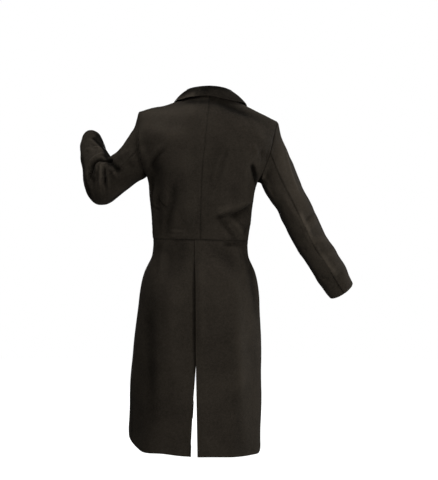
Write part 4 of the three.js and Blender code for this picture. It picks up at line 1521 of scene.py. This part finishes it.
holeLook = {
    "from": 1,  # where it starts and ends, from the centre front
    "to": 25,
    "spacing": 0.85,
    "corners": 8,
    "stitchLong": 3.2 * mm,
    "stitchThick": 0.42 * mm,
    "endRing": 0.21 * mm,
    "endLonger": 1.08,
    "raised": 0.25,  # above the cloth
    "slit": 0.5,  # half its opening
    "lean": 0.05,  # the stitches lean by up to this, unevenly
    "leanStep": 2.1,
    "barTack": (-2.24, -1.12, 0, 1.12, 2.24),  # the stitches across its outer end,
    "barTackOff": 0.4,  # this far past it
    "barTackRaised": 0.3,
    "dark": (0.008, 0.007, 0.006, 1),
    "light": (0.03, 0.027, 0.022, 1),
    "plyScale": 1500.0,
    "roughness": 0.42,
    "specular": 0.5,
}


def threadMaterial():
    material, wire, place = newMaterial("blackThread")
    ply = wire.noise(place, holeLook["plyScale"], 1.0)
    finishMaterial(wire, {
        "Base Color": wire.colour(ply, holeLook["dark"], holeLook["light"]),
        "Roughness": holeLook["roughness"],
        "Specular IOR Level": holeLook["specular"],
    })
    return material


def stitchPlaces():
    # along both sides of the slit, then across its outer end
    height = buttonLook["height"]
    places = []
    for number, wide in enumerate(np.arange(holeLook["from"], holeLook["to"], holeLook["spacing"])):
        for half in (-1, 1):
            away = half * (holeLook["slit"] + holeLook["stitchLong"] / mm / 2)
            lean = holeLook["lean"] * half * np.sin(holeLook["leanStep"] * number)
            spot = onFrontLeft(wide, height + away, holeLook["raised"])
            places.append(placing(*spot, (1, 0, lean)))
    end = holeLook["to"] + holeLook["barTackOff"]
    for step in holeLook["barTack"]:
        places.append(placing(*onFrontLeft(end, height + step, holeLook["barTackRaised"]), (0, 0, 1)))
    return places


def makeButtonhole():
    thick, long = holeLook["stitchThick"], holeLook["stitchLong"]
    stitch = roundBar(vertices=holeLook["corners"], radius=thick, depth=long, rotation=(np.pi / 2, 0, 0))
    pickFaces(stitch, (0, 1, 0), (0, -1, 0))
    bpy.ops.mesh.inset(thickness=holeLook["endRing"])
    bpy.ops.transform.resize(value=(1, holeLook["endLonger"], 1))
    bpy.ops.object.mode_set(mode="OBJECT")
    bpy.ops.object.shade_smooth()
    bars = []
    for matrix in stitchPlaces():
        bar = stitch.copy()
        bar.data = stitch.data.copy()
        bar.data.transform(matrix)
        scene.collection.objects.link(bar)
        bars.append(bar)
    bpy.data.objects.remove(stitch)
    bpy.ops.object.select_all(action="DESELECT")
    for bar in bars:
        bar.select_set(True)
    bpy.context.view_layer.objects.active = bars[0]
    bpy.ops.object.join()
    buttonhole = bpy.context.object
    buttonhole.name = "buttonhole_stitches"
    buttonhole.data.materials.append(threadMaterial())
    return buttonhole


button = makeButton()
buttonhole = makeButtonhole()
print("button and buttonhole are made")


# Each piece of cloth and the button ride on the root body in place of the model's part of the same name,
# which is hidden, and the buttonhole rides with them
for name, piece in clothPieces.items():
    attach(piece, "root")
    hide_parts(name)
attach(button, "root")
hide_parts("button")
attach(buttonhole, "root")

print("the coat is finished")
